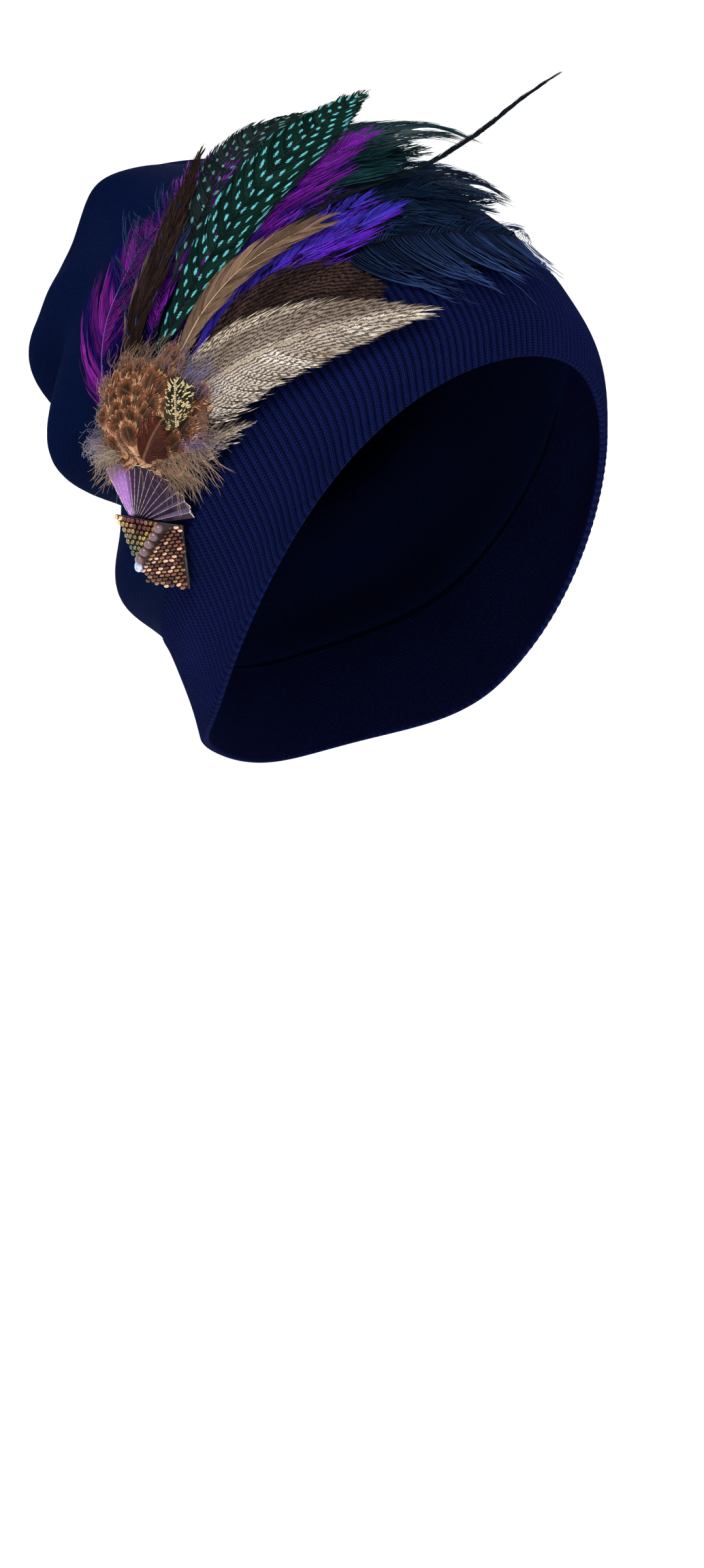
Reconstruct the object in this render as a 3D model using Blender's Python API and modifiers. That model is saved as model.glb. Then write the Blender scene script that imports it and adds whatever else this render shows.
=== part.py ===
"""A flapper's knitted hat, modelled as it sits on a head.

The hat is one knitted bag: a ribbed band at its edge and a plain crown that
slouches to the back. A spray of feathers and a beaded brooch with a pleated
fan are sewn to the wearer's right side. Metres, +Z up. The origin is the
middle of the wearer's head at the height of the eyes, -Y is the way the face
looks and -X is the wearer's right.
"""

import bpy
import numpy as np
from mathutils import Matrix, Vector

# Hat form
HAT_DEPTH = 0.243        # front edge to the end of the slouching crown
FRONT_REACH = 0.100      # head axis to the front edge
HAT_HEIGHT = 0.249       # nape tip to the top of the crown
NAPE_DROP = 0.110        # eye level down to the nape tip
HALF_WIDTH = 0.080       # head axis to the widest place of the wall
CROWN_LEAN = 0.012       # slouch of the crown's end to the wearer's right
CHEEK_DIP = 0.022        # how far the edge dips between temple and nape
FOLD_SWELL = 0.014       # height of the largest fold of slack cloth

# Knit
KNIT_WALL = 0.0025
BAND_WIDTH = 0.050       # ribbed part, measured over the ear
RIB_HEIGHT = 0.0009
RIB_COUNT = 81
CROWN_ROWS = 20
CROWN_ROW_PACKING = 1.25  # over 1 brings the crown's rows closer at the band
GAP = 0.0003             # air between two pieces that touch on the real hat

# Feathers
VANE_HALF_WIDTH = 0.016
VANE_THICKNESS = 0.0008
QUILL_HALF_WIDTH = 0.0009
VANE_FULLNESS = 0.7      # under 1 makes the ends of a vane blunter
LAYER_PITCH = 0.0015     # from one layer of feathers to the next
FIRST_LIFT = 0.0011      # hat to the underside of the lowest feathers
PLUME_RISE = 0.024       # how far the plume tips stand off the crown
PAD_REACH = 0.040        # middle of the pad of small feathers to its front
PAD_DOME = 0.006
STEM_RADIUS = 0.011      # sewn-down middle that holds every feather root
PAD_COLUMNS = 28

# Brooch
FAN_REACH_ACROSS = 0.031
FAN_REACH_UP = 0.0238
FAN_PLEATS = 14
PLEAT_HEIGHT = 0.0014
PLEAT_AT_HINGE = 0.3     # share of that height where the pleats are gathered
FAN_THICKNESS = 0.0006
SHIELD_WIDTH = 0.037     # along its upper edge
SHIELD_FOOT_WIDTH = 0.019
SHIELD_HEIGHT = 0.025
SHIELD_BEHIND = 0.012    # fan's hinge to the shield's corner behind it
SHIELD_SLANT = 0.021     # how far its rear edge runs forward on the way down
SHIELD_THICKNESS = 0.002
HINGE_DROP = 0.0033      # shield's upper edge down to the hinge of the fan
BROOCH_BEND = 0.110      # radius that the brooch is curved to
PEARL_RADIUS = 0.0019
PEARL_COUNT = 5
FIRST_PEARL = 0.77       # share along the shield's upper edge
STONE_SLANT = (-0.60, -0.80)  # way from pearl to pearl, backwards and down
STONE_RADIUS = 0.0021
STONE_HEIGHT = 0.0014
STONE_TABLE = 0.55       # flat top as a share of the stone's radius

# Sections across the bag, from the edge to the end of the crown. front and
# back are the two ends of a section on the hat's middle plane: _y is a share
# of HAT_DEPTH behind the front edge, _z a share of HAT_HEIGHT above the nape
# tip. width, lean and dip are shares of HALF_WIDTH, CROWN_LEAN and CHEEK_DIP.
# square is 2 for an ellipse and more for a boxier section.
SECTIONS = (
    # front_y front_z back_y back_z width lean dip square
    (0.000, 0.647, 0.741, 0.000, 0.925, 0.00, 1.00, 2.00),
    (0.008, 0.715, 0.757, 0.056, 0.950, 0.08, 0.91, 2.00),
    (0.058, 0.779, 0.790, 0.129, 0.963, 0.25, 0.73, 2.00),
    (0.132, 0.839, 0.831, 0.201, 0.975, 0.33, 0.45, 2.00),
    (0.235, 0.896, 0.856, 0.265, 0.988, 0.42, 0.27, 2.05),
    (0.346, 0.940, 0.881, 0.337, 0.988, 0.50, 0.14, 2.10),
    (0.461, 0.970, 0.914, 0.418, 0.988, 0.67, 0.00, 2.30),
    (0.576, 0.986, 0.955, 0.490, 0.975, 0.75, 0.00, 2.50),
    (0.683, 0.990, 0.988, 0.562, 0.938, 0.83, 0.00, 3.00),
    (0.724, 0.978, 1.000, 0.602, 0.838, 0.92, 0.00, 2.90),
    (0.765, 0.935, 0.988, 0.667, 0.600, 0.92, 0.00, 2.60),
    (0.815, 0.885, 0.955, 0.747, 0.300, 1.00, 0.00, 2.20),
    (0.885, 0.815, 0.885, 0.815, 0.000, 1.00, 0.00, 2.00),
)

# Folds of slack cloth. angle is degrees round from the front towards the
# wearer's right, along is the share of the way from the edge to the crown's
# end, the spreads are in the same units, swell is a share of FOLD_SWELL.
FOLDS = (
    # angle along angle_spread along_spread swell
    (130, 0.275, 30, 0.052, 0.85),
    (128, 0.415, 30, 0.045, -0.60),
    (130, 0.520, 26, 0.038, 0.90),
    (126, 0.590, 26, 0.030, -0.50),
    (108, 0.650, 26, 0.050, 0.30),
    (52, 0.685, 9, 0.050, 0.40),
    (26, 0.660, 14, 0.060, -0.35),
    (74, 0.650, 12, 0.080, -0.30),
    (-130, 0.280, 30, 0.055, 0.50),
    (-128, 0.410, 30, 0.050, -0.35),
    (-130, 0.515, 28, 0.045, 0.50),
    (-120, 0.620, 30, 0.045, -0.30),
    (178, 0.450, 16, 0.080, -0.40),
)
DIP_ANGLE = 112.0        # degrees round from the front to the deepest dip
EAR_ANGLE = 90.0
PROBE = 1e-4             # step for measuring slopes of the surface


def between_rows(table, along):
    """Rows of a table read at shares 0 to 1 on a Catmull-Rom curve through them."""
    rows = np.asarray(table, float)
    last = len(rows) - 1
    place = np.clip(along, 0.0, 1.0) * last
    index = np.minimum(place.astype(int), last - 1)
    part = (place - index)[..., None]
    padded = np.vstack([2 * rows[0] - rows[1], rows, 2 * rows[-1] - rows[-2]])
    before, here, after, beyond = (padded[index + step] for step in range(4))
    slope = after - before
    bend = 2 * before - 5 * here + 4 * after - beyond
    twist = 3 * (here - after) + beyond - before
    return here + 0.5 * part * (slope + part * (bend + part * twist))


def between_rows_at(table, places):
    """Second column of a table read at values of its first, with smooth steps between rows."""
    rows = np.asarray(table, float)
    index = np.clip(np.searchsorted(rows[:, 0], places, side="right") - 1, 0, len(rows) - 2)
    part = (places - rows[index, 0]) / (rows[index + 1, 0] - rows[index, 0])
    part = part * part * (3 - 2 * part)
    return rows[index, 1] * (1 - part) + rows[index + 1, 1] * part


def fold_swell(angle, along):
    """Height of the folds: a sum of smooth hills and hollows, one for each row of FOLDS."""
    height = np.zeros_like(angle)
    for fold_angle, fold_along, angle_spread, along_spread, swell in FOLDS:
        turn = (angle - fold_angle + 180.0) % 360.0 - 180.0
        step = (along - fold_along) / along_spread
        height += swell * FOLD_SWELL * np.exp(-(turn / angle_spread) ** 2 - step ** 2)
    return height


def hat_surface(angle, along):
    """Point on the outside of the bag, angle degrees round and a share along it.

    A section is a superellipse: its radius is 1 / (|cos|^n + |sin|^n)^(1/n).
    It hangs between its front and its back point, dips between them, and the
    folds push it away from its own middle.
    """
    angle, along = np.broadcast_arrays(np.asarray(angle, float), np.asarray(along, float))
    front_y, front_z, back_y, back_z, width, lean, dip, square = np.moveaxis(
        between_rows(SECTIONS, along), -1, 0)
    front_y, back_y = (HAT_DEPTH * y - FRONT_REACH for y in (front_y, back_y))
    front_z, back_z = (HAT_HEIGHT * z - NAPE_DROP for z in (front_z, back_z))
    cosine, sine = np.cos(np.radians(angle)), np.sin(np.radians(angle))
    reach = (np.abs(cosine) ** square + np.abs(sine) ** square) ** (-1.0 / square)
    ahead, aside = reach * cosine, reach * sine
    half_y, half_z = (back_y - front_y) / 2, (back_z - front_z) / 2
    length = np.maximum(np.hypot(half_y, half_z), 1e-6)
    around = np.abs((angle + 180.0) % 360.0 - 180.0)
    rise = np.where(around < DIP_ANGLE, around / DIP_ANGLE, (180.0 - around) / (180.0 - DIP_ANGLE))
    drop = CHEEK_DIP * dip * np.sin(rise * np.pi / 2) ** 4 / length
    offset = np.stack([-HALF_WIDTH * width * aside, -half_y * ahead, -half_z * ahead], -1)
    middle = np.stack([-CROWN_LEAN * lean,
                       (front_y + back_y) / 2 + drop * half_z,
                       (front_z + back_z) / 2 - drop * half_y], -1)
    distance = np.maximum(np.linalg.norm(offset, axis=-1, keepdims=True), 1e-6)
    return middle + offset * (1 + fold_swell(angle, along)[..., None] / distance)


def hat_slopes(angle, along):
    """Changes of the surface point for one degree round and for one whole share along."""
    by_angle = (hat_surface(angle + PROBE, along) - hat_surface(angle - PROBE, along)) / (2 * PROBE)
    low, high = np.clip(along - PROBE, 0, 1), np.clip(along + PROBE, 0, 1)
    by_along = (hat_surface(angle, high) - hat_surface(angle, low)) / (high - low)[..., None]
    return by_angle, by_along


def hat_normal(angle, along):
    """Outward direction of the surface, square to both of its slopes."""
    by_angle, by_along = hat_slopes(angle, along)
    normal = np.cross(by_along, by_angle)
    return normal / np.linalg.norm(normal, axis=-1, keepdims=True)


def above_hat(angle, along, lift):
    """Point that stands off the surface by lift, along its outward direction."""
    angle, along, lift = np.broadcast_arrays(
        np.asarray(angle, float), np.asarray(along, float), np.asarray(lift, float))
    return hat_surface(angle, along) + hat_normal(angle, along) * lift[..., None]


def find_on_hat(angle, along, target, across, up):
    """Angle and share whose surface point lies under target, as seen square to across and up.

    Newton's method on the two distances along across and up, started from a
    guess, with the slopes of the surface as its matrix.
    """
    angle, along = (np.array(v, float) for v in np.broadcast_arrays(angle, along, target[..., 0])[:2])
    for _ in range(6):
        miss = target - hat_surface(angle, along)
        by_angle, by_along = hat_slopes(angle, along)
        a, b = (by_angle * across).sum(-1), (by_along * across).sum(-1)
        c, d = (by_angle * up).sum(-1), (by_along * up).sum(-1)
        e, f = (miss * across).sum(-1), (miss * up).sum(-1)
        scale = 1.0 / (a * d - b * c)
        angle += np.clip((e * d - b * f) * scale, -15, 15)
        along += np.clip((a * f - e * c) * scale, -0.1, 0.1)
        along = np.clip(along, 0.001, 0.999)
    return angle, along


# Places on the hat, in degrees round and shares along
PAD_PLACE = (91.0, 0.308)
BROOCH_PLACE = (106.5, 0.252)
BROOCH_AHEAD = 8.0       # degrees that the brooch faces ahead of straight aside
BROOCH_DOWN = 6.0        # degrees that it faces down
BROOCH_ROLL = -7.0       # degrees that its upper edge falls towards the face
FAN_START, FAN_END = 12.0, 135.0

# Lobed outline of the pad. bearing is degrees from straight ahead, upwards;
# reach is a share of PAD_REACH.
PAD_OUTLINE = (
    # bearing reach
    (0, 1.00), (45, 0.86), (90, 0.70), (135, 0.86), (180, 0.92), (215, 0.50),
    (240, 0.29), (270, 0.28), (300, 0.31), (328, 0.58), (360, 1.00),
)
# Section of the pad from the foot of its stem over its edge to its top.
# out is a share of the outline, or of the stem where stem is 1; rise is a
# share of PAD_DOME above the underside of the pad, or of the stem's foot.
PAD_PROFILE = (
    # out rise stem
    (0.00, 0.00, 1), (1.00, 0.00, 1), (1.00, 1.00, 1),
    (0.60, 0.00, 0), (1.00, 0.00, 0), (0.98, 0.30, 0), (0.80, 0.72, 0), (0.45, 0.97, 0), (0.00, 1.00, 0),
)

# Feathers, lowest layer first. bearing is where the root meets the stem of
# the pad, in degrees from straight ahead, upwards. width is a share of
# VANE_HALF_WIDTH, bare the share of the length that is bare quill, and belly
# where between root and tip the vane is widest. Stations run from root to
# tip: degrees round, share along, and rise as a share of PLUME_RISE.
FEATHERS = (
    # name layer bearing width bare belly colour stations
    ("left_hackle", 0, 164, 0.50, 0.15, 0.50, "magenta",
     ((103, 0.415, 0), (99, 0.455, 0), (86, 0.485, 0), (72, 0.497, 0), (60, 0.508, 0), (52, 0.518, 0))),
    ("upper_hackle", 0, 138, 0.42, 0.30, 0.70, "purple",
     ((82, 0.400, 0), (66, 0.440, 0), (50, 0.480, 0), (38, 0.525, 0), (30, 0.570, 0))),
    ("navy_plume", 0, 81, 1.00, 0.25, 0.66, "navy",
     ((74, 0.345, 0), (50, 0.360, 0), (30, 0.375, 0), (12, 0.370, 0),
      (-2, 0.350, 0.12), (-14, 0.320, 0.25), (-24, 0.280, 0.30))),
    ("navy_herl", 1, 59, 1.10, 0.22, 0.64, "navy",
     ((74, 0.315, 0), (52, 0.300, 0), (34, 0.270, 0), (15, 0.240, 0),
      (-3, 0.210, 0.10), (-18, 0.180, 0.15))),
    ("teal_plume", 1, 103, 1.15, 0.28, 0.74, "teal",
     ((77, 0.360, 0), (55, 0.400, 0), (35, 0.430, 0), (18, 0.445, 0.10),
      (3, 0.440, 0.36), (-9, 0.410, 0.65), (-19, 0.365, 0.75))),
    ("blue_feather", 2, 47, 0.50, 0.15, 0.50, "violet",
     ((74, 0.300, 0), (60, 0.303, 0), (46, 0.297, 0), (32, 0.290, 0), (17, 0.295, 0.03))),
    ("right_hackle", 2, 92, 0.42, 0.20, 0.60, "purple",
     ((76, 0.350, 0), (60, 0.375, 0), (45, 0.390, 0), (33, 0.405, 0.02),
      (20, 0.420, 0.11), (5, 0.435, 0.34))),
    ("rear_guinea", 2, 126, 0.85, 0.30, 0.60, "spotted",
     ((82, 0.375, 0), (68, 0.410, 0), (52, 0.450, 0), (38, 0.490, 0), (26, 0.530, 0.05),
      (12, 0.565, 0.25), (1, 0.575, 0.42))),
    ("long_quill", 2, 70, 0.12, 0.05, 0.45, "black",
     ((74, 0.328, 0), (58, 0.342, 0), (40, 0.345, 0), (26, 0.345, 0.03), (12, 0.345, 0.08),
      (0, 0.345, 0.36), (-12, 0.360, 0.92), (-21, 0.380, 1.75), (-27, 0.395, 2.50))),
    ("brown_flank", 3, 34, 0.90, 0.15, 0.55, "brown",
     ((72, 0.290, 0), (60, 0.275, 0), (48, 0.243, 0), (40, 0.207, 0), (34, 0.180, 0))),
    ("lower_lock_1", 3, 2, 0.28, 0.20, 0.50, "cream",
     ((78, 0.245, 0), (70, 0.212, 0), (61, 0.185, 0))),
    ("lower_lock_2", 3, -12, 0.28, 0.20, 0.50, "cream",
     ((84, 0.225, 0), (78, 0.205, 0), (72, 0.180, 0))),
    ("main_guinea", 3, 114, 0.90, 0.14, 0.55, "spotted",
     ((79, 0.360, 0), (64, 0.378, 0), (50, 0.402, 0), (34, 0.435, 0.04),
      (16, 0.475, 0.20), (5, 0.492, 0.50), (-4, 0.500, 0.80))),
    ("dark_quill", 3, 150, 0.42, 0.12, 0.40, "brown",
     ((86, 0.400, 0), (77, 0.430, 0), (62, 0.455, 0), (47, 0.500, 0.02), (35, 0.548, 0.10))),
    ("tan_quill", 4, 68, 0.30, 0.10, 0.50, "tan",
     ((74, 0.325, 0), (64, 0.335, 0), (52, 0.335, 0), (38, 0.320, 0), (24, 0.295, 0.03))),
    ("mallard_flank", 4, 18, 0.88, 0.08, 0.40, "cream",
     ((76, 0.268, 0), (66, 0.242, 0), (54, 0.203, 0), (42, 0.158, 0), (29, 0.115, 0))),
)
FEATHER_SPANS = 12
WIDE_SHARE = 0.8         # vanes at least this wide get four strips, others two

# Colours as linear red, green, blue, then roughness and metallic value
FINISHES = {
    "knit_rib": (0.008, 0.011, 0.060, 0.85, 0.0),
    "knit_plain": (0.004, 0.007, 0.045, 0.90, 0.0),
    "magenta": (0.25, 0.03, 0.42, 0.50, 0.0),
    "purple": (0.12, 0.02, 0.38, 0.50, 0.0),
    "navy": (0.010, 0.020, 0.060, 0.50, 0.0),
    "teal": (0.010, 0.040, 0.050, 0.50, 0.0),
    "violet": (0.05, 0.03, 0.50, 0.50, 0.0),
    "spotted": (0.020, 0.060, 0.060, 0.55, 0.0),
    "black": (0.010, 0.012, 0.015, 0.45, 0.0),
    "brown": (0.080, 0.045, 0.030, 0.60, 0.0),
    "tan": (0.25, 0.16, 0.11, 0.60, 0.0),
    "cream": (0.55, 0.47, 0.38, 0.60, 0.0),
    "pheasant": (0.22, 0.10, 0.05, 0.60, 0.0),
    "fan": (0.20, 0.08, 0.35, 0.25, 0.3),
    "beads": (0.25, 0.13, 0.06, 0.30, 0.6),
    "pearl": (0.30, 0.25, 0.27, 0.20, 0.2),
    "crystal": (0.75, 0.82, 0.90, 0.05, 0.0),
}


def finish(name):
    """Material for a named finish, made once."""
    material = bpy.data.materials.get(name)
    if material is None:
        material = bpy.data.materials.new(name)
        material.use_nodes = True
        red, green, blue, roughness, metallic = FINISHES[name]
        shader = material.node_tree.nodes["Principled BSDF"]
        shader.inputs["Base Color"].default_value = (red, green, blue, 1.0)
        shader.inputs["Roughness"].default_value = roughness
        shader.inputs["Metallic"].default_value = metallic
    return material


def add_piece(name, mesh, finish_name, parent=None):
    """Object for a mesh, smooth shaded, in the hat's collection."""
    piece = bpy.data.objects.new(name, mesh)
    mesh.materials.append(finish(finish_name))
    mesh.shade_smooth()
    mesh.set_sharp_from_angle(angle=np.radians(50.0))
    bpy.data.collections["flapper_hat"].objects.link(piece)
    piece.parent = parent
    return piece


def grid_mesh(name, grid, closed=False, poles=(None, None)):
    """Mesh of quads between the rows and columns of a grid of points.

    closed joins the last column to the first. A pole is one point that
    closes the first or the last row with a fan of triangles. A face runs
    along the rows first, so it points to rows-direction cross columns-direction.
    """
    rows, columns = grid.shape[:2]
    points = list(grid.reshape(-1, 3))
    faces = []
    for column in range(columns if closed else columns - 1):
        beside = (column + 1) % columns
        for row in range(rows - 1):
            start = row * columns
            faces.append((start + column, start + columns + column,
                          start + columns + beside, start + beside))
        if poles[0] is not None:
            faces.append((rows * columns, column, beside))
        if poles[1] is not None:
            last = (rows - 1) * columns
            end = rows * columns + (poles[0] is not None)
            faces.append((last + beside, last + column, end))
    points += [pole for pole in poles if pole is not None]
    mesh = bpy.data.meshes.new(name)
    mesh.from_pydata([tuple(map(float, point)) for point in points], [], faces)
    mesh.update()
    return mesh


def add_wall(piece, thickness, offset):
    """Solidify: offset -1 thickens inwards, 1 outwards."""
    wall = piece.modifiers.new("wall", "SOLIDIFY")
    wall.thickness = thickness
    wall.offset = offset
    wall.use_even_offset = False
    return wall


def set_origin(piece, point):
    """Moves a piece's origin to a point and leaves its mesh where it is."""
    piece.data.transform(Matrix.Translation(-Vector(point)))
    piece.location = point


def band_share():
    """Share of the way along at which the ribbed band ends, measured over the ear."""
    shares = np.linspace(0.0, 1.0, 200)
    points = hat_surface(EAR_ANGLE, shares)
    run = np.concatenate([[0.0], np.cumsum(np.linalg.norm(np.diff(points, axis=0), axis=1))])
    return float(np.interp(BAND_WIDTH, run, shares)), float(run[-1])


def make_rib_band():
    """Ribbed edge: every second column stands up by the height of a rib."""
    end, _ = band_share()
    angles = np.linspace(0.0, 360.0, 2 * RIB_COUNT, endpoint=False)[None, :]
    shares = np.linspace(0.0, end, 4)[:, None]
    ribs = np.where(np.arange(2 * RIB_COUNT) % 2 == 0, RIB_HEIGHT, 0.0)[None, :]
    piece = add_piece("rib_band", grid_mesh("rib_band", above_hat(angles, shares, ribs), closed=True),
                      "knit_rib")
    add_wall(piece, KNIT_WALL, -1.0)
    return piece


def make_crown():
    """Plain knit from the band to the crown's end, rows closest where the folds are."""
    end, run = band_share()
    start = end + GAP / run
    steps = np.linspace(0.0, 1.0, CROWN_ROWS + 1)[:-1]
    shares = (start + (1.0 - start) * steps ** CROWN_ROW_PACKING)[:, None]
    angles = np.linspace(0.0, 360.0, 2 * RIB_COUNT // 3, endpoint=False)[None, :]
    tip = hat_surface(0.0, 1.0)
    mesh = grid_mesh("crown", hat_surface(angles, shares), closed=True, poles=(None, tip))
    piece = add_piece("crown", mesh, "knit_plain")
    add_wall(piece, KNIT_WALL, -1.0)
    return piece


def pad_frame():
    """Middle of the pad on the hat, and the directions ahead and up in its plane."""
    middle = hat_surface(*PAD_PLACE)
    outward = hat_normal(*(np.array(v) for v in PAD_PLACE))
    ahead = np.cross((0.0, 0.0, 1.0), outward)
    ahead /= np.linalg.norm(ahead)
    return middle, ahead, np.cross(outward, ahead)


def around_pad(bearing, reach):
    """Degrees and share of the places at a bearing and a reach from the pad's middle."""
    middle, ahead, up = pad_frame()
    turn = np.radians(np.asarray(bearing, float))[..., None]
    target = middle + (np.cos(turn) * ahead + np.sin(turn) * up) * np.asarray(reach)[..., None]
    return find_on_hat(PAD_PLACE[0], PAD_PLACE[1], target, ahead, up)


def layer_lift(layer):
    """Lift of the underside of a layer of feathers."""
    return FIRST_LIFT + layer * LAYER_PITCH


def pad_underside():
    """Lift of the pad's underside: it clears the top layer of feathers."""
    top_layer = max(feather[1] for feather in FEATHERS)
    return layer_lift(top_layer) + VANE_THICKNESS + 2 * GAP


def vane_half_width(share, width, bare, belly):
    """Half width of a feather: bare quill, then a sine hill with its top at belly."""
    inside = np.clip((share - bare) / (1.0 - bare), 0.0, 1.0)
    hill = np.sin(np.pi * inside ** (np.log(0.5) / np.log(belly)))
    return np.maximum(QUILL_HALF_WIDTH, width * VANE_HALF_WIDTH * hill ** VANE_FULLNESS)


def root_place(bearing, first):
    """Place of a feather's root on its way to the first station: its near corner just clears the stem."""
    _, ahead, up = pad_frame()
    way = hat_surface(*first) - hat_surface(*around_pad(bearing, STEM_RADIUS))
    heading = np.arctan2((way * up).sum(), (way * ahead).sum())
    sideways = abs(np.sin(heading - np.radians(bearing)))
    return around_pad(bearing, STEM_RADIUS + 2 * GAP + QUILL_HALF_WIDTH * sideways)


def make_feather(name, layer, bearing, width, bare, belly, colour, stations):
    """One feather: a thin leaf that follows the hat at its layer's lift, its root at the stem.

    Its shaft is a Catmull-Rom curve through the stations. Each cross row is
    stepped sideways over the surface, square to the shaft.
    """
    root_angle, root_along = root_place(bearing, stations[0][:2])
    route = ((float(root_angle), float(root_along), 0.0),) + stations
    share = np.linspace(0.0, 1.0, FEATHER_SPANS + 1)
    angle, along, rise = np.moveaxis(between_rows(route, share), -1, 0)
    by_angle, by_along = hat_slopes(angle, along)
    outward = hat_normal(angle, along)
    shaft = np.gradient(above_hat(angle, along, rise * PLUME_RISE), axis=0)
    aside = np.cross(outward, shaft)
    aside /= np.linalg.norm(aside, axis=-1, keepdims=True)
    ahead = np.cross(aside, outward)
    strips = 4 if width >= WIDE_SHARE else 2
    half = vane_half_width(share, width, bare, belly)
    across = np.linspace(-1.0, 1.0, strips + 1)[None, :] * half[:, None]
    target = hat_surface(angle, along)[:, None, :] + across[..., None] * aside[:, None, :]
    places = find_on_hat(angle[:, None], along[:, None], target, aside[:, None, :], ahead[:, None, :])
    grid = above_hat(*places, layer_lift(layer) + rise[:, None] * PLUME_RISE)
    piece = add_piece(name, grid_mesh(name, grid), colour)
    set_origin(piece, tuple(map(float, grid[0, strips // 2])))
    add_wall(piece, VANE_THICKNESS, 1.0)
    return piece


def make_pad():
    """Pad of small feathers: a lobed cap on a round stem that stands on the crown."""
    bearings = np.linspace(0.0, 360.0, PAD_COLUMNS, endpoint=False)
    outline = between_rows_at(PAD_OUTLINE, bearings) * PAD_REACH
    rings = []
    for out, rise, stem in PAD_PROFILE:
        reach = out * (np.full(PAD_COLUMNS, STEM_RADIUS) if stem else outline)
        lift = GAP + rise * (pad_underside() - GAP) if stem else pad_underside() + rise * PAD_DOME
        rings.append(above_hat(*around_pad(bearings, reach), lift))
    grid = np.array(rings[1:-1])
    mesh = grid_mesh("pheasant_pad", grid[:, ::-1], closed=True, poles=(rings[0][0], rings[-1][0]))
    piece = add_piece("pheasant_pad", mesh, "pheasant")
    set_origin(piece, tuple(map(float, rings[0][0])))
    return piece


class Brooch:
    """Frame of the brooch: x along its upper edge towards the face, y up, z outwards.

    Its plates bend round the head: a point at x lies x^2 / (2 BROOCH_BEND)
    nearer to it. The frame stands off the hat just enough to clear it.
    """

    def __init__(self):
        turn, down, roll = (np.radians(v) for v in (BROOCH_AHEAD, BROOCH_DOWN, BROOCH_ROLL))
        self.out = np.array((-np.cos(turn) * np.cos(down), -np.sin(turn) * np.cos(down), -np.sin(down)))
        level = np.cross((0.0, 0.0, 1.0), self.out)
        level /= np.linalg.norm(level)
        upright = np.cross(self.out, level)
        self.across = np.cos(roll) * level + np.sin(roll) * upright
        self.up = np.cross(self.out, self.across)
        self.middle = hat_surface(*BROOCH_PLACE)
        self.seat = max(self.height_needed(*fan_plan()[:2]), self.height_needed(*shield_plan())) + GAP

    def height_needed(self, x, y):
        """Height at which a plate with points at x and y just touches the ribs of the band."""
        target = self.middle + x[..., None] * self.across + y[..., None] * self.up
        places = find_on_hat(*BROOCH_PLACE, target, self.across, self.up)
        height = ((above_hat(*places, RIB_HEIGHT) - self.middle) * self.out).sum(-1)
        return float((height - self.bend(x)).max())

    def bend(self, x):
        return -x ** 2 / (2 * BROOCH_BEND)

    def matrix(self):
        columns = [self.across, self.up, self.out, self.middle + self.out * self.seat]
        return Matrix([[float(column[row]) for column in columns] for row in range(3)] + [[0, 0, 0, 1]])

    def piece_from(self, name, x, y, z, finish_name, empty, **how):
        """Piece of the brooch from grids of its own coordinates, bent with it."""
        grid = np.stack(np.broadcast_arrays(x, y, z + self.bend(x)), -1)
        return add_piece(name, grid_mesh(name, grid, **how), finish_name, empty)


def fan_plan():
    """Points of the fan, row by row from the shield's upper edge out to an ellipse, and its pleats."""
    turn = np.radians(np.linspace(FAN_START, FAN_END, 2 * FAN_PLEATS + 1))[::-1]
    inner = (HINGE_DROP + GAP) / np.sin(turn)
    outer = 1.0 / np.hypot(np.cos(turn) / FAN_REACH_ACROSS, np.sin(turn) / FAN_REACH_UP)
    out = np.linspace(0.0, 1.0, 4)[:, None]
    reach = inner + (outer - inner) * out
    raised = (np.arange(turn.size) % 2) * PLEAT_HEIGHT * (PLEAT_AT_HINGE + (1 - PLEAT_AT_HINGE) * out)
    return reach * np.cos(turn), reach * np.sin(turn), raised


def make_fan(brooch, empty):
    """Pleated fan: ribs spread from the hinge, every second one raised."""
    fan = brooch.piece_from("pleated_fan", *fan_plan(), "fan", empty)
    add_wall(fan, FAN_THICKNESS, 1.0)


def shield_plan():
    """Points of the shield, row by row downwards: narrower at its foot and slanting forward."""
    down = np.linspace(0.0, 1.0, 5)[:, None]
    rear = SHIELD_SLANT * down - SHIELD_BEHIND
    width = SHIELD_WIDTH + (SHIELD_FOOT_WIDTH - SHIELD_WIDTH) * down
    x = rear + width * np.linspace(0.0, 1.0, 9)[None, :]
    return x, HINGE_DROP - SHIELD_HEIGHT * down + 0.0 * x


def make_shield(brooch, empty):
    """Plate that carries the beads."""
    x, y = shield_plan()
    shield = brooch.piece_from("shield", x, y, 0.0 * x, "beads", empty)
    add_wall(shield, SHIELD_THICKNESS, 1.0)


def stone_line():
    """Places of the pearls and, last, of the cut stone, along a slant over the shield."""
    pitch = 2 * PEARL_RADIUS + GAP
    top = np.array([FIRST_PEARL * SHIELD_WIDTH - SHIELD_BEHIND, HINGE_DROP - PEARL_RADIUS - GAP])
    return [top + np.array(STONE_SLANT) * pitch * index for index in range(PEARL_COUNT + 1)]


def make_stones(brooch, empty):
    """Round pearls and one cut stone with a flat table, each resting on the shield."""
    *pearls, stone = stone_line()
    for index, (x, y) in enumerate(pearls, 1):
        bpy.ops.mesh.primitive_uv_sphere_add(segments=10, ring_count=6, radius=PEARL_RADIUS)
        height = SHIELD_THICKNESS + GAP + PEARL_RADIUS
        place_stone(f"pearl_{index}", brooch, empty, x, y, height, "pearl")
    bpy.ops.mesh.primitive_cone_add(vertices=10, radius1=STONE_RADIUS, radius2=STONE_TABLE * STONE_RADIUS,
                                    depth=STONE_HEIGHT)
    place_stone("rhinestone", brooch, empty, *stone, SHIELD_THICKNESS + GAP + STONE_HEIGHT / 2, "crystal")


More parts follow.
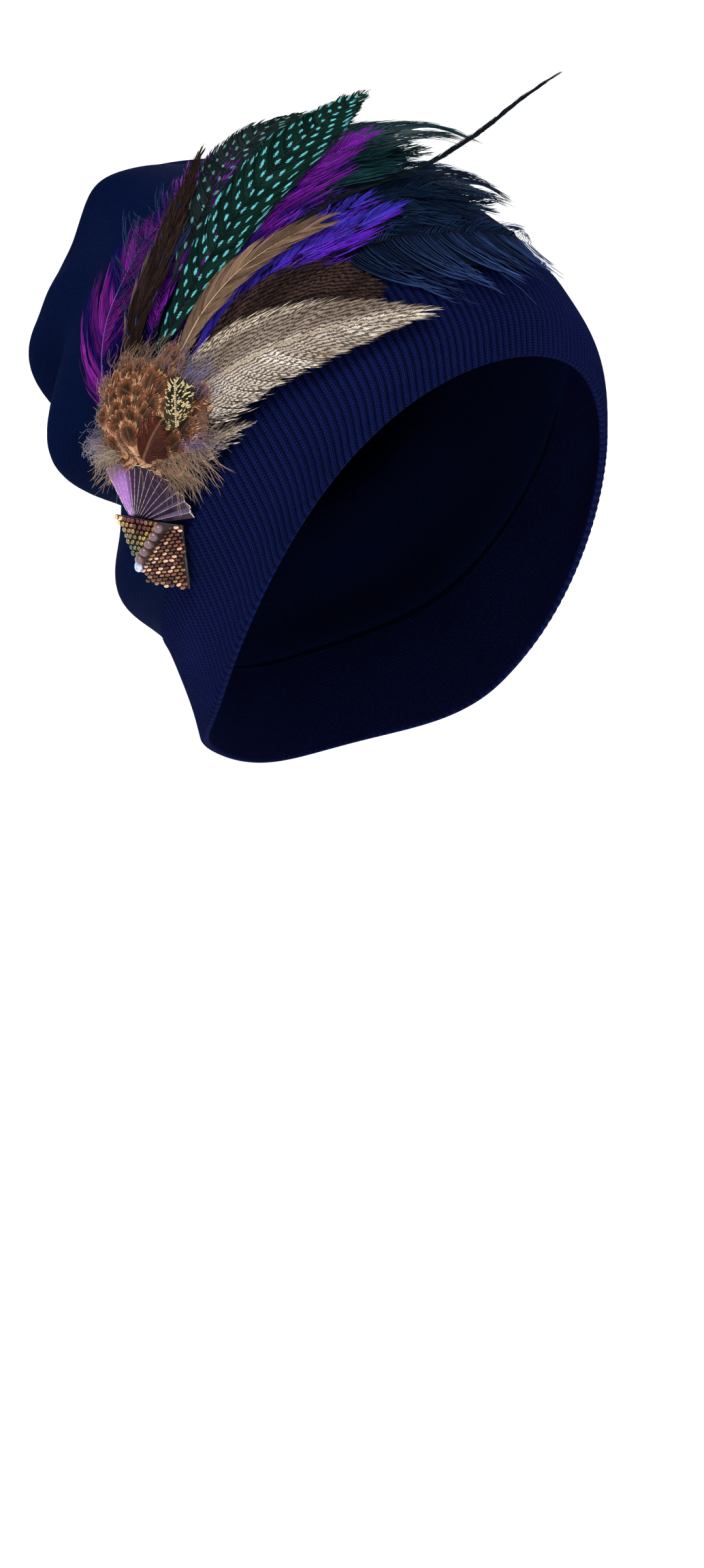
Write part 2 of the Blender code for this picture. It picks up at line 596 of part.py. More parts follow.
def place_stone(name, brooch, empty, x, y, height, finish_name):
    """Names the new primitive, gives it its finish and sets it on the shield."""
    stone = bpy.context.object
    for collection in stone.users_collection:
        collection.objects.unlink(stone)
    mesh = stone.data
    bpy.data.objects.remove(stone)
    mesh.name = name
    piece = add_piece(name, mesh, finish_name, empty)
    piece.location = (x, y, height + brooch.bend(x))


def main():
    for old in list(bpy.data.objects):
        bpy.data.objects.remove(old)
    collection = bpy.data.collections.new("flapper_hat")
    bpy.context.scene.collection.children.link(collection)
    make_rib_band()
    make_crown()
    for feather in FEATHERS:
        make_feather(*feather)
    make_pad()
    brooch = Brooch()
    empty = bpy.data.objects.new("brooch_seat", None)
    collection.objects.link(empty)
    empty.matrix_world = brooch.matrix()
    make_fan(brooch, empty)
    make_shield(brooch, empty)
    make_stones(brooch, empty)


main()
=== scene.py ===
# %% [markdown]
# # A flapper's knitted hat
#
# A close cap of ribbed and plain navy wool, slouched to the back, with a spray
# of feathers and a beaded brooch sewn on one side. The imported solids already
# hold every size and place. This lesson dresses them: knitted shells for the
# bag, real barbs for the feathers, beads for the brooch. Each surface is a
# function of two parameters, worked out with numpy as whole arrays.

import bpy
import numpy as np
from mathutils import Matrix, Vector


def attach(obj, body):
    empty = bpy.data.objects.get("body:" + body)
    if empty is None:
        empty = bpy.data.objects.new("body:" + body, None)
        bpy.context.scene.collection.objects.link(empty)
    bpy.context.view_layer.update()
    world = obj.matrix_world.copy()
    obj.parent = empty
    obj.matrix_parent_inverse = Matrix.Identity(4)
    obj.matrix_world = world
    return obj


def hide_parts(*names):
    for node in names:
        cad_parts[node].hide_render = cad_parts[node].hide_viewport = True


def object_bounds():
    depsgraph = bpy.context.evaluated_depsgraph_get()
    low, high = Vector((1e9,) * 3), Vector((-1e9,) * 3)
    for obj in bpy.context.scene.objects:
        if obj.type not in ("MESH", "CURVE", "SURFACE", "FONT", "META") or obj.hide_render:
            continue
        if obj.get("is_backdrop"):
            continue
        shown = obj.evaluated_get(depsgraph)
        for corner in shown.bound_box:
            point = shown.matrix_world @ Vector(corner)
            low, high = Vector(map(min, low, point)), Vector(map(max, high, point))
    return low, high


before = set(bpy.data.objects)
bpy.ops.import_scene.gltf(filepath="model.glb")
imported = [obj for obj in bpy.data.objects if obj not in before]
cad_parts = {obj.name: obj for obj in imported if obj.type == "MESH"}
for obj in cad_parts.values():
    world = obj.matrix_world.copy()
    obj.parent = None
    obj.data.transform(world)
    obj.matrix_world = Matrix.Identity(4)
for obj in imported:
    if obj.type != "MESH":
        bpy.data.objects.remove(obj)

solid_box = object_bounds()
bpy.context.scene.view_settings.view_transform = "Standard"
MM = 0.001
chance = np.random.default_rng(1925)
print("solids:", len(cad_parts))

# %% [markdown]
# A few helpers do the plain work of making meshes. A grid of points becomes
# quads, strands become closed three-sided threads, and `add_piece` puts points
# and faces into Blender with a map and a tone. The map says where a point lies
# on the cloth or on the feather, so a pattern follows the surface. The tone is
# one random number for each strand, so that no two barbs match exactly. On the
# knitted cloth it is painted shade instead: low in the furrows of the ribs and
# on the inside of the hat.

# %% Meshes from arrays
def grid_faces(rows, columns, closed=False, looped=False):
    """Quads of a grid. closed joins the last column to the first, looped the last row to the first."""
    row = np.arange(rows if looped else rows - 1)[:, None]
    column = np.arange(columns if closed else columns - 1)[None, :]
    above, beside = (row + 1) % rows, (column + 1) % columns
    corners = (row * columns + column, above * columns + column,
               above * columns + beside, row * columns + beside)
    return np.stack(corners, -1).reshape(-1, 4)


def poled_faces(rows, columns):
    """Faces of a closed grid whose first and last row each meet a pole. Both poles follow the grid."""
    column = np.arange(columns)
    beside = (column + 1) % columns
    count = rows * columns
    last = count - columns
    return [grid_faces(rows, columns, closed=True),
            np.stack([0 * column + count, column, beside], 1),
            np.stack([last + beside, last + column, 0 * column + count + 1], 1)]


def join(blocks):
    """Points and faces of several blocks as one mesh, and each face's block number."""
    points, faces, which, start = [], [], [], 0
    for number, (block, groups) in enumerate(blocks):
        points.append(block)
        faces += [group + start for group in groups]
        which.append(np.full(sum(len(group) for group in groups), number))
        start += len(block)
    return np.vstack(points), faces, np.concatenate(which)


def corner_map(mesh, places, period):
    """Map value of each face corner. Where a face crosses the seam, its low side moves up a period."""
    corner = np.empty(len(mesh.loops), np.int32)
    mesh.loops.foreach_get("vertex_index", corner)
    values = places[corner].astype(np.float32)
    if period:
        start = np.empty(len(mesh.polygons), np.int32)
        mesh.polygons.foreach_get("loop_start", start)
        top = np.maximum.reduceat(values[:, 0], start)
        count = np.diff(np.append(start, len(corner)))
        values[:, 0] += period * (np.repeat(top, count) - values[:, 0] > period / 2)
    return values


def lay_on_points(mesh, name, kind, field, values):
    """One value or colour for each point of the mesh, as an attribute that a finish can read."""
    mesh.attributes.new(name, kind, "POINT").data.foreach_set(field, values.ravel().astype(np.float32))


def add_piece(name, points, faces, finishes, replaced=(), places=None, period=0.0,
              tone=None, colour=None, which=None, smooth=True):
    """Piece from points and faces, riding on the hat, with its map, tone and colours if it has them."""
    mesh = bpy.data.meshes.new(name)
    rows = [face for group in faces for face in group.tolist()]
    mesh.from_pydata(points.reshape(-1, 3).tolist(), [], rows)
    for finish in finishes:
        mesh.materials.append(finish)
    if places is not None:
        values = corner_map(mesh, places.reshape(-1, 2), period)
        mesh.uv_layers.new(name="lay").data.foreach_set("uv", values.ravel())
    if tone is not None:
        lay_on_points(mesh, "tone", "FLOAT", "value", tone)
    if colour is not None:
        opaque = np.concatenate([colour.reshape(-1, 3), np.ones((colour.size // 3, 1))], 1)
        lay_on_points(mesh, "dye", "FLOAT_COLOR", "color", opaque)
    if which is not None:
        mesh.polygons.foreach_set("material_index", which.astype(np.int32))
    mesh.polygons.foreach_set("use_smooth", np.full(len(mesh.polygons), smooth))
    mesh.update()
    piece = bpy.data.objects.new(name, mesh)
    bpy.context.scene.collection.objects.link(piece)
    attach(piece, "root")
    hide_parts(*replaced)
    triangles = sum(len(group) * (group.shape[1] - 2) for group in faces)
    print(f"{name}: {triangles} triangles")
    return piece


print("a grid of 3 by 4 points has", len(grid_faces(3, 4)), "quads")

# %% [markdown]
# Barbs and down are threads. A thread could be a curve with a bevel, but there
# are tens of thousands of them, so all the threads of a feather are worked out
# at once as three-sided ones, the fewest sides that close. Shafts, ribs and
# rims are round rods, carried along a path in the same way.

# %% Threads and rods
def unit(vectors):
    """Vectors at length one."""
    return vectors / np.maximum(np.linalg.norm(vectors, axis=-1, keepdims=True), 1e-12)


def strands(path, outward, width, thickness):
    """Closed three-sided threads along many paths at once, each ending in a point.

    path and outward are (threads, steps, 3), width and thickness (threads, steps).
    The floor of a thread is as wide as width and its ridge stands up by thickness. Returns points,
    [cap triangles, quads, tip triangles] and, for each point, its thread and step.
    """
    threads, steps = path.shape[:2]
    along = unit(np.gradient(path, axis=1))
    aside = unit(np.cross(along, outward)) * width[..., None] / 2
    ridge = path + unit(outward) * thickness[..., None]
    ring = np.stack([path - aside, ridge, path + aside], 2)[:, :-1]
    points = np.concatenate([ring.reshape(threads, -1, 3), path[:, -1:]], 1)
    size = 3 * (steps - 1) + 1
    first = (np.arange(threads) * size)[:, None, None, None]
    step = (3 * np.arange(steps - 2))[None, :, None, None]
    corner = np.arange(3)[None, None, :, None]
    turn = (corner + 1) % 3
    quads = np.concatenate([first + step + corner, first + step + 3 + corner,
                            first + step + 3 + turn, first + step + turn], -1).reshape(-1, 4)
    first, corner, turn = first[:, 0], corner[0], turn[0]
    last = 3 * (steps - 2)
    tips = np.concatenate([first + last + corner, first + size - 1 + 0 * corner,
                           first + last + turn], -1).reshape(-1, 3)
    caps = (first[:, 0] + np.array([0, 1, 2])).reshape(-1, 3)
    thread = np.repeat(np.arange(threads), size)
    place = np.tile(np.append(np.repeat(np.arange(steps - 1), 3), steps - 1), threads)
    return points.reshape(-1, 3), [caps, quads, tips], thread, place


def rods(path, radius, sides=8):
    """Closed round rods along many paths: each ring is a circle square to the path, with capped ends."""
    threads, steps = path.shape[:2]
    along = unit(np.gradient(path, axis=1))
    helper = np.where(np.abs(along[..., 2:]) < 0.8, (0.0, 0.0, 1.0), (1.0, 0.0, 0.0))
    first = unit(np.cross(along, helper))
    second = np.cross(along, first)
    turn = np.linspace(0.0, 2 * np.pi, sides, endpoint=False)
    spoke = np.cos(turn)[:, None] * first[..., None, :] + np.sin(turn)[:, None] * second[..., None, :]
    rings = path[..., None, :] + spoke * np.asarray(radius)[..., None, None]
    base = (np.arange(threads) * steps * sides)[:, None, None]
    sidewalls = (base + grid_faces(steps, sides, closed=True)[None]).reshape(-1, 4)
    caps = np.concatenate([base[:, 0] + np.arange(sides)[None, :],
                           base[:, 0] + (steps - 1) * sides + np.arange(sides)[None, ::-1]])
    return rings.reshape(-1, 3), [sidewalls[:, ::-1], caps[:, ::-1]]


print("straight up, at length one:", unit(np.array([0.0, 0.0, 7.0])))

# %% [markdown]
# A finish is a Principled shader with a few nodes. `Finish` keeps the lines
# short: it sets the shader's sockets by name, `node` adds a node and fills or
# links its own sockets, and `times`, `times_plus` and `mix` are the kinds used
# most. Colours are written as on a screen and turned to linear light.

# %% Finishes from nodes
def dye(red, green, blue):
    """Linear colour for a colour read from 0 to 255: (c/255 + 0.055)/1.055 to the power 2.4."""
    return tuple(((value / 255 + 0.055) / 1.055) ** 2.4 for value in (red, green, blue)) + (1.0,)


class Finish:
    """A material and the nodes that paint it."""

    def __init__(self, name, **sockets):
        self.material = bpy.data.materials.new(name)
        self.material.use_nodes = True
        self.tree = self.material.node_tree
        self.shader = self.tree.nodes["Principled BSDF"]
        for socket, value in sockets.items():
            self.shader.inputs[socket.replace("_", " ")].default_value = value

    def node(self, kind, inputs=(), **settings):
        """New node; inputs are values or output sockets, by name or number."""
        node = self.tree.nodes.new(kind)
        for setting, value in settings.items():
            setattr(node, setting, value)
        for socket, value in dict(inputs).items():
            if isinstance(value, bpy.types.NodeSocket):
                self.tree.links.new(value, node.inputs[socket])
            else:
                node.inputs[socket].default_value = value
        return node

    def math(self, operation, *values):
        return self.node("ShaderNodeMath", enumerate(values), operation=operation).outputs[0]

    def times(self, first, second):
        return self.math("MULTIPLY", first, second)

    def times_plus(self, first, second, third):
        return self.math("MULTIPLY_ADD", first, second, third)

    def mix(self, share, first, second):
        inputs = {0: share, 6: first, 7: second}
        return self.node("ShaderNodeMix", inputs, data_type="RGBA").outputs[2]

    def map(self):
        """The two numbers of the piece's own map, along and out."""
        lay = self.node("ShaderNodeUVMap", uv_map="lay")
        return self.node("ShaderNodeSeparateXYZ", {0: lay.outputs[0]}).outputs[:2]

    def attribute(self, name, output):
        return self.node("ShaderNodeAttribute", attribute_name=name).outputs[output]

    def noise(self, vector, scale, detail=2.0):
        inputs = {"Vector": vector, "Scale": scale, "Detail": detail}
        return self.node("ShaderNodeTexNoise", inputs).outputs[0]

    def place(self):
        return self.node("ShaderNodeTexCoord").outputs["Object"]

    def step(self, value, low, high):
        """0 below low, 1 above high and a smooth step between."""
        inputs = {0: value, 1: low, 2: high}
        return self.node("ShaderNodeMapRange", inputs, interpolation_type="SMOOTHSTEP").outputs[0]

    def paint(self, colour):
        self.tree.links.new(colour, self.shader.inputs["Base Color"])

    def relief(self, height, distance, strength=1.0):
        inputs = {"Height": height, "Distance": distance, "Strength": strength}
        bump = self.node("ShaderNodeBump", inputs)
        self.tree.links.new(bump.outputs[0], self.shader.inputs["Normal"])


print("middle grey of a screen in linear light:", round(dye(128, 128, 128)[0], 3))

# %% [markdown]
# The bag is a tilted tube of soft cloth. Thirteen sections cross it from the
# edge to the end of the crown, each a superellipse that hangs between a front
# and a back point. Smooth hills and hollows on top of that are the folds of
# slack cloth. The numbers are shares of the named sizes and repeat those of
# the solids, so the dressed hat lies exactly where they are.

# %% Form of the bag
HAT_DEPTH = 0.243
FRONT_REACH = 0.100
HAT_HEIGHT = 0.249
BACK_DROP = 0.110
HALF_WIDTH = 0.080
CROWN_LEAN = 0.012
SIDE_DIP = 0.022
FOLD_SWELL = 0.014
KNIT_WALL = 0.0025
BAND_WIDTH = 0.050
RIB_HEIGHT = 0.0009
GAP = 0.0003
DIP_ANGLE = 112.0
SIDE_ANGLE = 90.0
PROBE = 1e-4             # step, in degrees or as a share, over which a slope is measured
NEWTON_ROUNDS = 6

SECTIONS = (
    # front_y front_z back_y back_z width lean dip square
    (0.000, 0.647, 0.741, 0.000, 0.925, 0.00, 1.00, 2.00),
    (0.008, 0.715, 0.757, 0.056, 0.950, 0.08, 0.91, 2.00),
    (0.058, 0.779, 0.790, 0.129, 0.963, 0.25, 0.73, 2.00),
    (0.132, 0.839, 0.831, 0.201, 0.975, 0.33, 0.45, 2.00),
    (0.235, 0.896, 0.856, 0.265, 0.988, 0.42, 0.27, 2.05),
    (0.346, 0.940, 0.881, 0.337, 0.988, 0.50, 0.14, 2.10),
    (0.461, 0.970, 0.914, 0.418, 0.988, 0.67, 0.00, 2.30),
    (0.576, 0.986, 0.955, 0.490, 0.975, 0.75, 0.00, 2.50),
    (0.683, 0.990, 0.988, 0.562, 0.938, 0.83, 0.00, 3.00),
    (0.724, 0.978, 1.000, 0.602, 0.838, 0.92, 0.00, 2.90),
    (0.765, 0.935, 0.988, 0.667, 0.600, 0.92, 0.00, 2.60),
    (0.815, 0.885, 0.955, 0.747, 0.300, 1.00, 0.00, 2.20),
    (0.885, 0.815, 0.885, 0.815, 0.000, 1.00, 0.00, 2.00),
)
FOLDS = (
    # angle along angle_spread along_spread swell
    (130, 0.275, 30, 0.052, 0.85),
    (128, 0.415, 30, 0.045, -0.60),
    (130, 0.520, 26, 0.038, 0.90),
    (126, 0.590, 26, 0.030, -0.50),
    (108, 0.650, 26, 0.050, 0.30),
    (52, 0.685, 9, 0.050, 0.40),
    (26, 0.660, 14, 0.060, -0.35),
    (74, 0.650, 12, 0.080, -0.30),
    (-130, 0.280, 30, 0.055, 0.50),
    (-128, 0.410, 30, 0.050, -0.35),
    (-130, 0.515, 28, 0.045, 0.50),
    (-120, 0.620, 30, 0.045, -0.30),
    (178, 0.450, 16, 0.080, -0.40),
)
print(f"sections: {len(SECTIONS)}, folds: {len(FOLDS)}")

# %% [markdown]
# The sections could be lofted with a curve or a lattice. Here they are joined
# by a formula instead, as everything on the hat has to lie on the same cloth:
# one function gives the point for any angle round and any share along, and its
# slopes give the outward direction. A search turns that round: it finds which
# angle and share lie under a point in space.

# %% Surface of the bag
def between_rows(table, along):
    """Rows of a table at shares 0 to 1 on a Catmull-Rom curve through them."""
    rows = np.asarray(table, float)
    last = len(rows) - 1
    place = np.clip(along, 0.0, 1.0) * last
    index = np.minimum(place.astype(int), last - 1)
    part = (place - index)[..., None]
    padded = np.vstack([2 * rows[0] - rows[1], rows, 2 * rows[-1] - rows[-2]])
    before, here, after, beyond = (padded[index + step] for step in range(4))
    slope = after - before
    bend = 2 * before - 5 * here + 4 * after - beyond
    twist = 3 * (here - after) + beyond - before
    return here + 0.5 * part * (slope + part * (bend + part * twist))


def fold_swell(angle, along):
    """Height of the folds: for each row, swell times exp(-(turn/spread)^2 - (step/spread)^2)."""
    height = np.zeros_like(angle)
    for fold_angle, fold_along, angle_spread, along_spread, swell in FOLDS:
        turn = (angle - fold_angle + 180.0) % 360.0 - 180.0
        step = (along - fold_along) / along_spread
        height += swell * FOLD_SWELL * np.exp(-(turn / angle_spread) ** 2 - step ** 2)
    return height


def hat_surface(angle, along):
    """Point on the bag, degrees round from the front and a share from the edge to the crown's end.

    A section's radius is 1 / (|cos|^n + |sin|^n)^(1/n). It hangs between its
    front and back point, dips at the sides, and the folds push it outwards.
    """
    angle, along = np.broadcast_arrays(np.asarray(angle, float), np.asarray(along, float))
    front_y, front_z, back_y, back_z, width, lean, dip, square = np.moveaxis(
        between_rows(SECTIONS, along), -1, 0)
    front_y, back_y = (HAT_DEPTH * y - FRONT_REACH for y in (front_y, back_y))
    front_z, back_z = (HAT_HEIGHT * z - BACK_DROP for z in (front_z, back_z))
    cosine, sine = np.cos(np.radians(angle)), np.sin(np.radians(angle))
    reach = (np.abs(cosine) ** square + np.abs(sine) ** square) ** (-1.0 / square)
    ahead, aside = reach * cosine, reach * sine
    half_y, half_z = (back_y - front_y) / 2, (back_z - front_z) / 2
    length = np.maximum(np.hypot(half_y, half_z), 1e-6)
    around = np.abs((angle + 180.0) % 360.0 - 180.0)
    rise = np.where(around < DIP_ANGLE, around / DIP_ANGLE, (180.0 - around) / (180.0 - DIP_ANGLE))
    drop = SIDE_DIP * dip * np.sin(rise * np.pi / 2) ** 4 / length
    offset = np.stack([-HALF_WIDTH * width * aside, -half_y * ahead, -half_z * ahead], -1)
    middle = np.stack([-CROWN_LEAN * lean,
                       (front_y + back_y) / 2 + drop * half_z,
                       (front_z + back_z) / 2 - drop * half_y], -1)
    distance = np.maximum(np.linalg.norm(offset, axis=-1, keepdims=True), 1e-6)
    return middle + offset * (1 + fold_swell(angle, along)[..., None] / distance)


def hat_slopes(angle, along):
    """Changes of the surface point for one degree round and for one whole share along."""
    by_angle = (hat_surface(angle + PROBE, along) - hat_surface(angle - PROBE, along)) / (2 * PROBE)
    low, high = np.clip(along - PROBE, 0, 1), np.clip(along + PROBE, 0, 1)
    by_along = (hat_surface(angle, high) - hat_surface(angle, low)) / (high - low)[..., None]
    return by_angle, by_along


def hat_normal(angle, along):
    """Outward direction: the slope along cross the slope round."""
    by_angle, by_along = hat_slopes(angle, along)
    return unit(np.cross(by_along, by_angle))


def above_hat(angle, along, lift):
    """Point that stands off the surface by lift."""
    angle, along, lift = np.broadcast_arrays(
        np.asarray(angle, float), np.asarray(along, float), np.asarray(lift, float))
    return hat_surface(angle, along) + hat_normal(angle, along) * lift[..., None]


def find_on_hat(angle, along, target, across, up):
    """Angle and share of the surface point under target, by Newton's method on across and up."""
    angle, along = (np.array(v, float) for v in np.broadcast_arrays(angle, along, target[..., 0])[:2])
    for _ in range(NEWTON_ROUNDS):
        miss = target - hat_surface(angle, along)
        by_angle, by_along = hat_slopes(angle, along)
        a, b = (by_angle * across).sum(-1), (by_along * across).sum(-1)
        c, d = (by_angle * up).sum(-1), (by_along * up).sum(-1)
        e, f = (miss * across).sum(-1), (miss * up).sum(-1)
        scale = 1.0 / (a * d - b * c)
        angle += np.clip((e * d - b * f) * scale, -15, 15)
        along += np.clip((a * f - e * c) * scale, -0.1, 0.1)
        along = np.clip(along, 0.001, 0.999)
    return angle, along


def band_share():
    """Share at which the ribbed band ends, and the whole length of the cloth at the side."""
    shares = np.linspace(0.0, 1.0, 200)
    steps = np.linalg.norm(np.diff(hat_surface(SIDE_ANGLE, shares), axis=0), axis=1)
    run = np.concatenate([[0.0], np.cumsum(steps)])
    return float(np.interp(BAND_WIDTH, run, shares)), float(run[-1])


BAND_END, CLOTH_RUN = band_share()
print(f"ribbed band: {BAND_END:.3f} of {CLOTH_RUN / MM:.0f} mm of cloth at the side")

# %% [markdown]
# Knitted cloth is columns of small V-shaped stitches. On the ribbed band the
# columns stand up in rounded ribs with narrow furrows between them, which are
# real relief here. The stitches on them are too small for that, so they are a
# bump worked out from the map: across a column the height peaks on each leg
# of the V, and along it a sine rises and falls once a stitch. The colour holds
# painted shade as well: it darkens between the legs of each stitch, and by the
# tone in the furrows of the ribs and on the inside of the hat.

# %% Knitted cloth
def knit_finish(name, furrow, ridge, glow, stitch_depth):
    """Stitches from the map in stitches; colour from furrow to ridge by painted shade of tone and
    stitch.
    """
    finish = Finish(name, Roughness=0.95, Sheen_Weight=0.02, Sheen_Roughness=0.5, Sheen_Tint=glow,
                    Specular_IOR_Level=0.01)
    column, row = finish.map()
    leg = finish.math("ABSOLUTE", finish.math("SUBTRACT", finish.math("FRACT", column), 0.5))
    swing = finish.math("FRACT", finish.times_plus(leg, 1.2, row))
    rise = finish.math("SINE", finish.times(swing, np.pi))
    spread = finish.math("SINE", finish.times(leg, 2 * np.pi))
    stitch = finish.times(rise, spread)
    fuzz = finish.noise(finish.place(), 1400.0, 3.0)
    cloud = finish.noise(finish.place(), 28.0, 3.0)
    height = finish.times_plus(fuzz, 0.55, stitch)
    # painted shade: darker between the legs of each stitch; fuzz and cloud add random tone
    shade = finish.times_plus(stitch, 0.80, finish.times(fuzz, 0.25))
    shade = finish.times(shade, finish.times_plus(cloud, 0.7, 0.65))
    # painted shade from the tone: darkest in the rib furrows and on the inside of the hat
    ribs = finish.times_plus(finish.attribute("tone", "Fac"), 0.9, 0.2)
    lit = finish.times(shade, ribs)
    finish.paint(finish.mix(lit, furrow, ridge))
    finish.relief(height, stitch_depth)
    return finish.material


# The furrow colours are the wool in painted shade, the ridge colours the wool in the open.
NAVY_FURROW, NAVY_RIDGE = dye(0, 1, 8), dye(20, 31, 88)
CROWN_FURROW, CROWN_RIDGE = dye(2, 5, 20), dye(2, 20, 60)
RIB_GLOW, CROWN_GLOW = dye(60, 70, 150), dye(50, 70, 150)
rib_cloth = knit_finish("ribbed_wool", NAVY_FURROW, NAVY_RIDGE, RIB_GLOW, 0.50 * MM)
plain_cloth = knit_finish("plain_wool", CROWN_FURROW, CROWN_RIDGE, CROWN_GLOW, 0.20 * MM)
print("knitted finishes:", rib_cloth.name, plain_cloth.name)

# %% [markdown]
# The band is one endless strip of ribs, bound at the lower edge. Its section is
# a loop: up the outside, round the top, down the inside and back round the
# bound edge, which is a half circle as thick as the cloth.

# %% Ribbed band
RIBS = 192
POINTS_A_RIB = 6
STITCHES_A_RIB = 2
STITCH_ROWS = 40
BAND_ROWS = 50
INSIDE_SKIP = 3          # the inside of the knit needs only every third row
EDGE_STEPS = 6
EDGE_RIBS = 0.6          # the ribs are this much as high at the bound edge
# Tone of the band's inside, kept low: painted shade inside the hat.
BAND_INSIDE_SHADE = 0.25


def ribs_at(angles):
    """0 in a furrow to 1 on a ridge: a sine made broad by the power 0.6."""
    return np.abs(np.sin(np.radians(angles) * RIBS / 2)) ** 0.6


def make_band():
    """The loop's rows by columns round the hat; outside is 1 outside, -1 inside and 0 at the edge."""
    angles = np.linspace(0.0, 360.0, RIBS * POINTS_A_RIB, endpoint=False)
    edge = KNIT_WALL / 2 / CLOTH_RUN
    climb = np.linspace(0.0, 1.0, BAND_ROWS)
    descent = climb[::-INSIDE_SKIP]
    bow = np.linspace(np.pi, 0.0, EDGE_STEPS + 2)[1:-1]
    shares = np.concatenate([edge + (BAND_END - edge) * climb, edge + (BAND_END - edge) * descent,
                             edge * (1 - np.sin(bow))])
    depth = np.concatenate([0 * climb, np.full(descent.size, -KNIT_WALL),
                            -KNIT_WALL / 2 * (1 - np.cos(bow))])
    outside = np.concatenate([np.ones(climb.size), -np.ones(descent.size), np.zeros(EDGE_STEPS)])
    outside[0] = EDGE_RIBS
    ribs = ribs_at(angles)
    lifts = depth[:, None] + RIB_HEIGHT * np.maximum(outside, 0)[:, None] * ribs[None, :]
    columns = np.broadcast_to(angles / 360.0 * RIBS * STITCHES_A_RIB, lifts.shape)
    rows = np.broadcast_to((shares / BAND_END * STITCH_ROWS)[:, None], lifts.shape)
    grid = above_hat(angles[None, :], shares[:, None], lifts)
    # The tone paints shade: 0 in the furrows, 1 on the ridges, low on the inside.
    tone = np.where(outside[:, None] < 0, BAND_INSIDE_SHADE, ribs[None, :] ** 1.6)
    return add_piece("ribbed_band", grid, [grid_faces(*lifts.shape, closed=True, looped=True)],
                     [rib_cloth], ["rib_band"], np.stack([columns, rows], -1),
                     RIBS * STITCHES_A_RIB, tone)


make_band()

# %% [markdown]
# The crown is plain knit, much finer than the band, so its stitches are bump
# alone. It is a shell that closes at the crown's end, outside and inside.
# Fine slack wrinkles, a sum of three slanting waves that fade towards the
# band, keep the big folds from looking like rubber. Its first rows are tucked
# under the band, as a sewn seam is, so no light shows between the two.

# %% Plain crown
CROWN_COLUMNS = 380
CROWN_ROWS = 140
CROWN_STITCHES = 380
CROWN_STITCH_ROWS = 170
WRINKLE = 0.5 * MM
SEAM_TUCK = 2.5 * MM     # how far the crown's first rows lie under the band
SEAM_DEPTH = 0.4 * MM
# The crown's inside gets a lower tone than its outside: painted shade inside the hat.
CROWN_TONE, CROWN_INSIDE_SHADE = 0.8, 0.35


def wrinkles(angle, along):
    """Small slack waves: three sines across the slouch, strongest between the folds and at the end."""
    turn = np.radians(angle)
    wave = (np.sin(9 * turn + 40 * along) + 0.7 * np.sin(5 * turn - 61 * along + 1.0)
            + 0.5 * np.sin(14 * turn + 23 * along + 2.0))
    fade = np.clip((along - BAND_END) / 0.12, 0, 1) * np.clip((1.0 - along) / 0.1, 0, 1)
    return WRINKLE * wave * fade * (0.35 + 0.65 * np.abs(np.sin(turn)))


def make_crown():
    """Rows down the inside, then up the outside, by columns round the hat, with a pole to each shell."""
    start = BAND_END - SEAM_TUCK / CLOTH_RUN
    angles = np.linspace(0.0, 360.0, CROWN_COLUMNS, endpoint=False)
    climb = np.linspace(0.0, 1.0, CROWN_ROWS + 1)[:-1]
    inner = climb[::-INSIDE_SKIP][:-1]
    shares = start + (1.0 - start) * np.concatenate([inner, [0.0], climb])
    outside = np.arange(shares.size) > inner.size
    past_band = (shares - BAND_END) * CLOTH_RUN / SEAM_TUCK
    depth = np.where(outside, -SEAM_DEPTH * np.exp(-np.maximum(past_band, -0.7)), -KNIT_WALL)
    slack = np.where(outside[:, None], 1.0, 0.6) * wrinkles(angles[None, :], shares[:, None])
    lifts = depth[:, None] + slack
    grid = above_hat(angles[None, :], shares[:, None], lifts)
    end = hat_surface(0.0, 1.0)
    inside_end = end - hat_normal(np.array(0.0), np.array(0.999)) * KNIT_WALL
    columns = np.broadcast_to(angles / 360.0 * CROWN_STITCHES, lifts.shape)
    rows = np.broadcast_to(((shares - start) / (1 - start) * CROWN_STITCH_ROWS)[:, None], lifts.shape)
    places = np.stack([columns, rows], -1).reshape(-1, 2)
    places = np.vstack([places, places[[0, -1]]])
    tone = np.where(outside, CROWN_TONE, CROWN_INSIDE_SHADE)[:, None].repeat(CROWN_COLUMNS, 1).ravel()
    points = np.vstack([grid.reshape(-1, 3), inside_end, end])
    return add_piece("plain_crown", points, poled_faces(*lifts.shape), [plain_cloth],
                     ["crown"], places, CROWN_STITCHES, np.append(tone, [CROWN_INSIDE_SHADE, CROWN_TONE]))


make_crown()

# %% [markdown]
# The spray is sixteen long feathers, with loose tufts between them, that all
# start at one sewn-down stem on the side of the hat. A feather is a shaft with
# a vane of barbs on each side. The shaft's route is a short row of stations on
# the hat: degrees round, share along, and how far it stands off, as a share of
# one rise. Each feather gets a sheet, a patch of the hat stretched along its
# route, and everything else on it is placed by two numbers: how far along the
# shaft and how far out.

# %% Where the spray is sewn on
PAD_PLACE = (91.0, 0.308)
PAD_REACH = 0.040
PAD_DOME = 0.006
STEM_RADIUS = 0.011
VANE_HALF_WIDTH = 0.016
VANE_THICKNESS = 0.0008
VANE_FULLNESS = 0.7
LAYER_PITCH = 0.0015
FIRST_LIFT = 0.0011
TOP_LAYER = 4
PLUME_RISE = 0.024
TIP_SPARE = 0.14         # how far a sheet runs past the shaft's tip, as a share of the route
LAST_STEP = 0.03         # share of the route that gives the direction past the tip
SHEET_ROWS = 100
SHEET_COLUMNS = 13
SHEET_HALF = 0.034


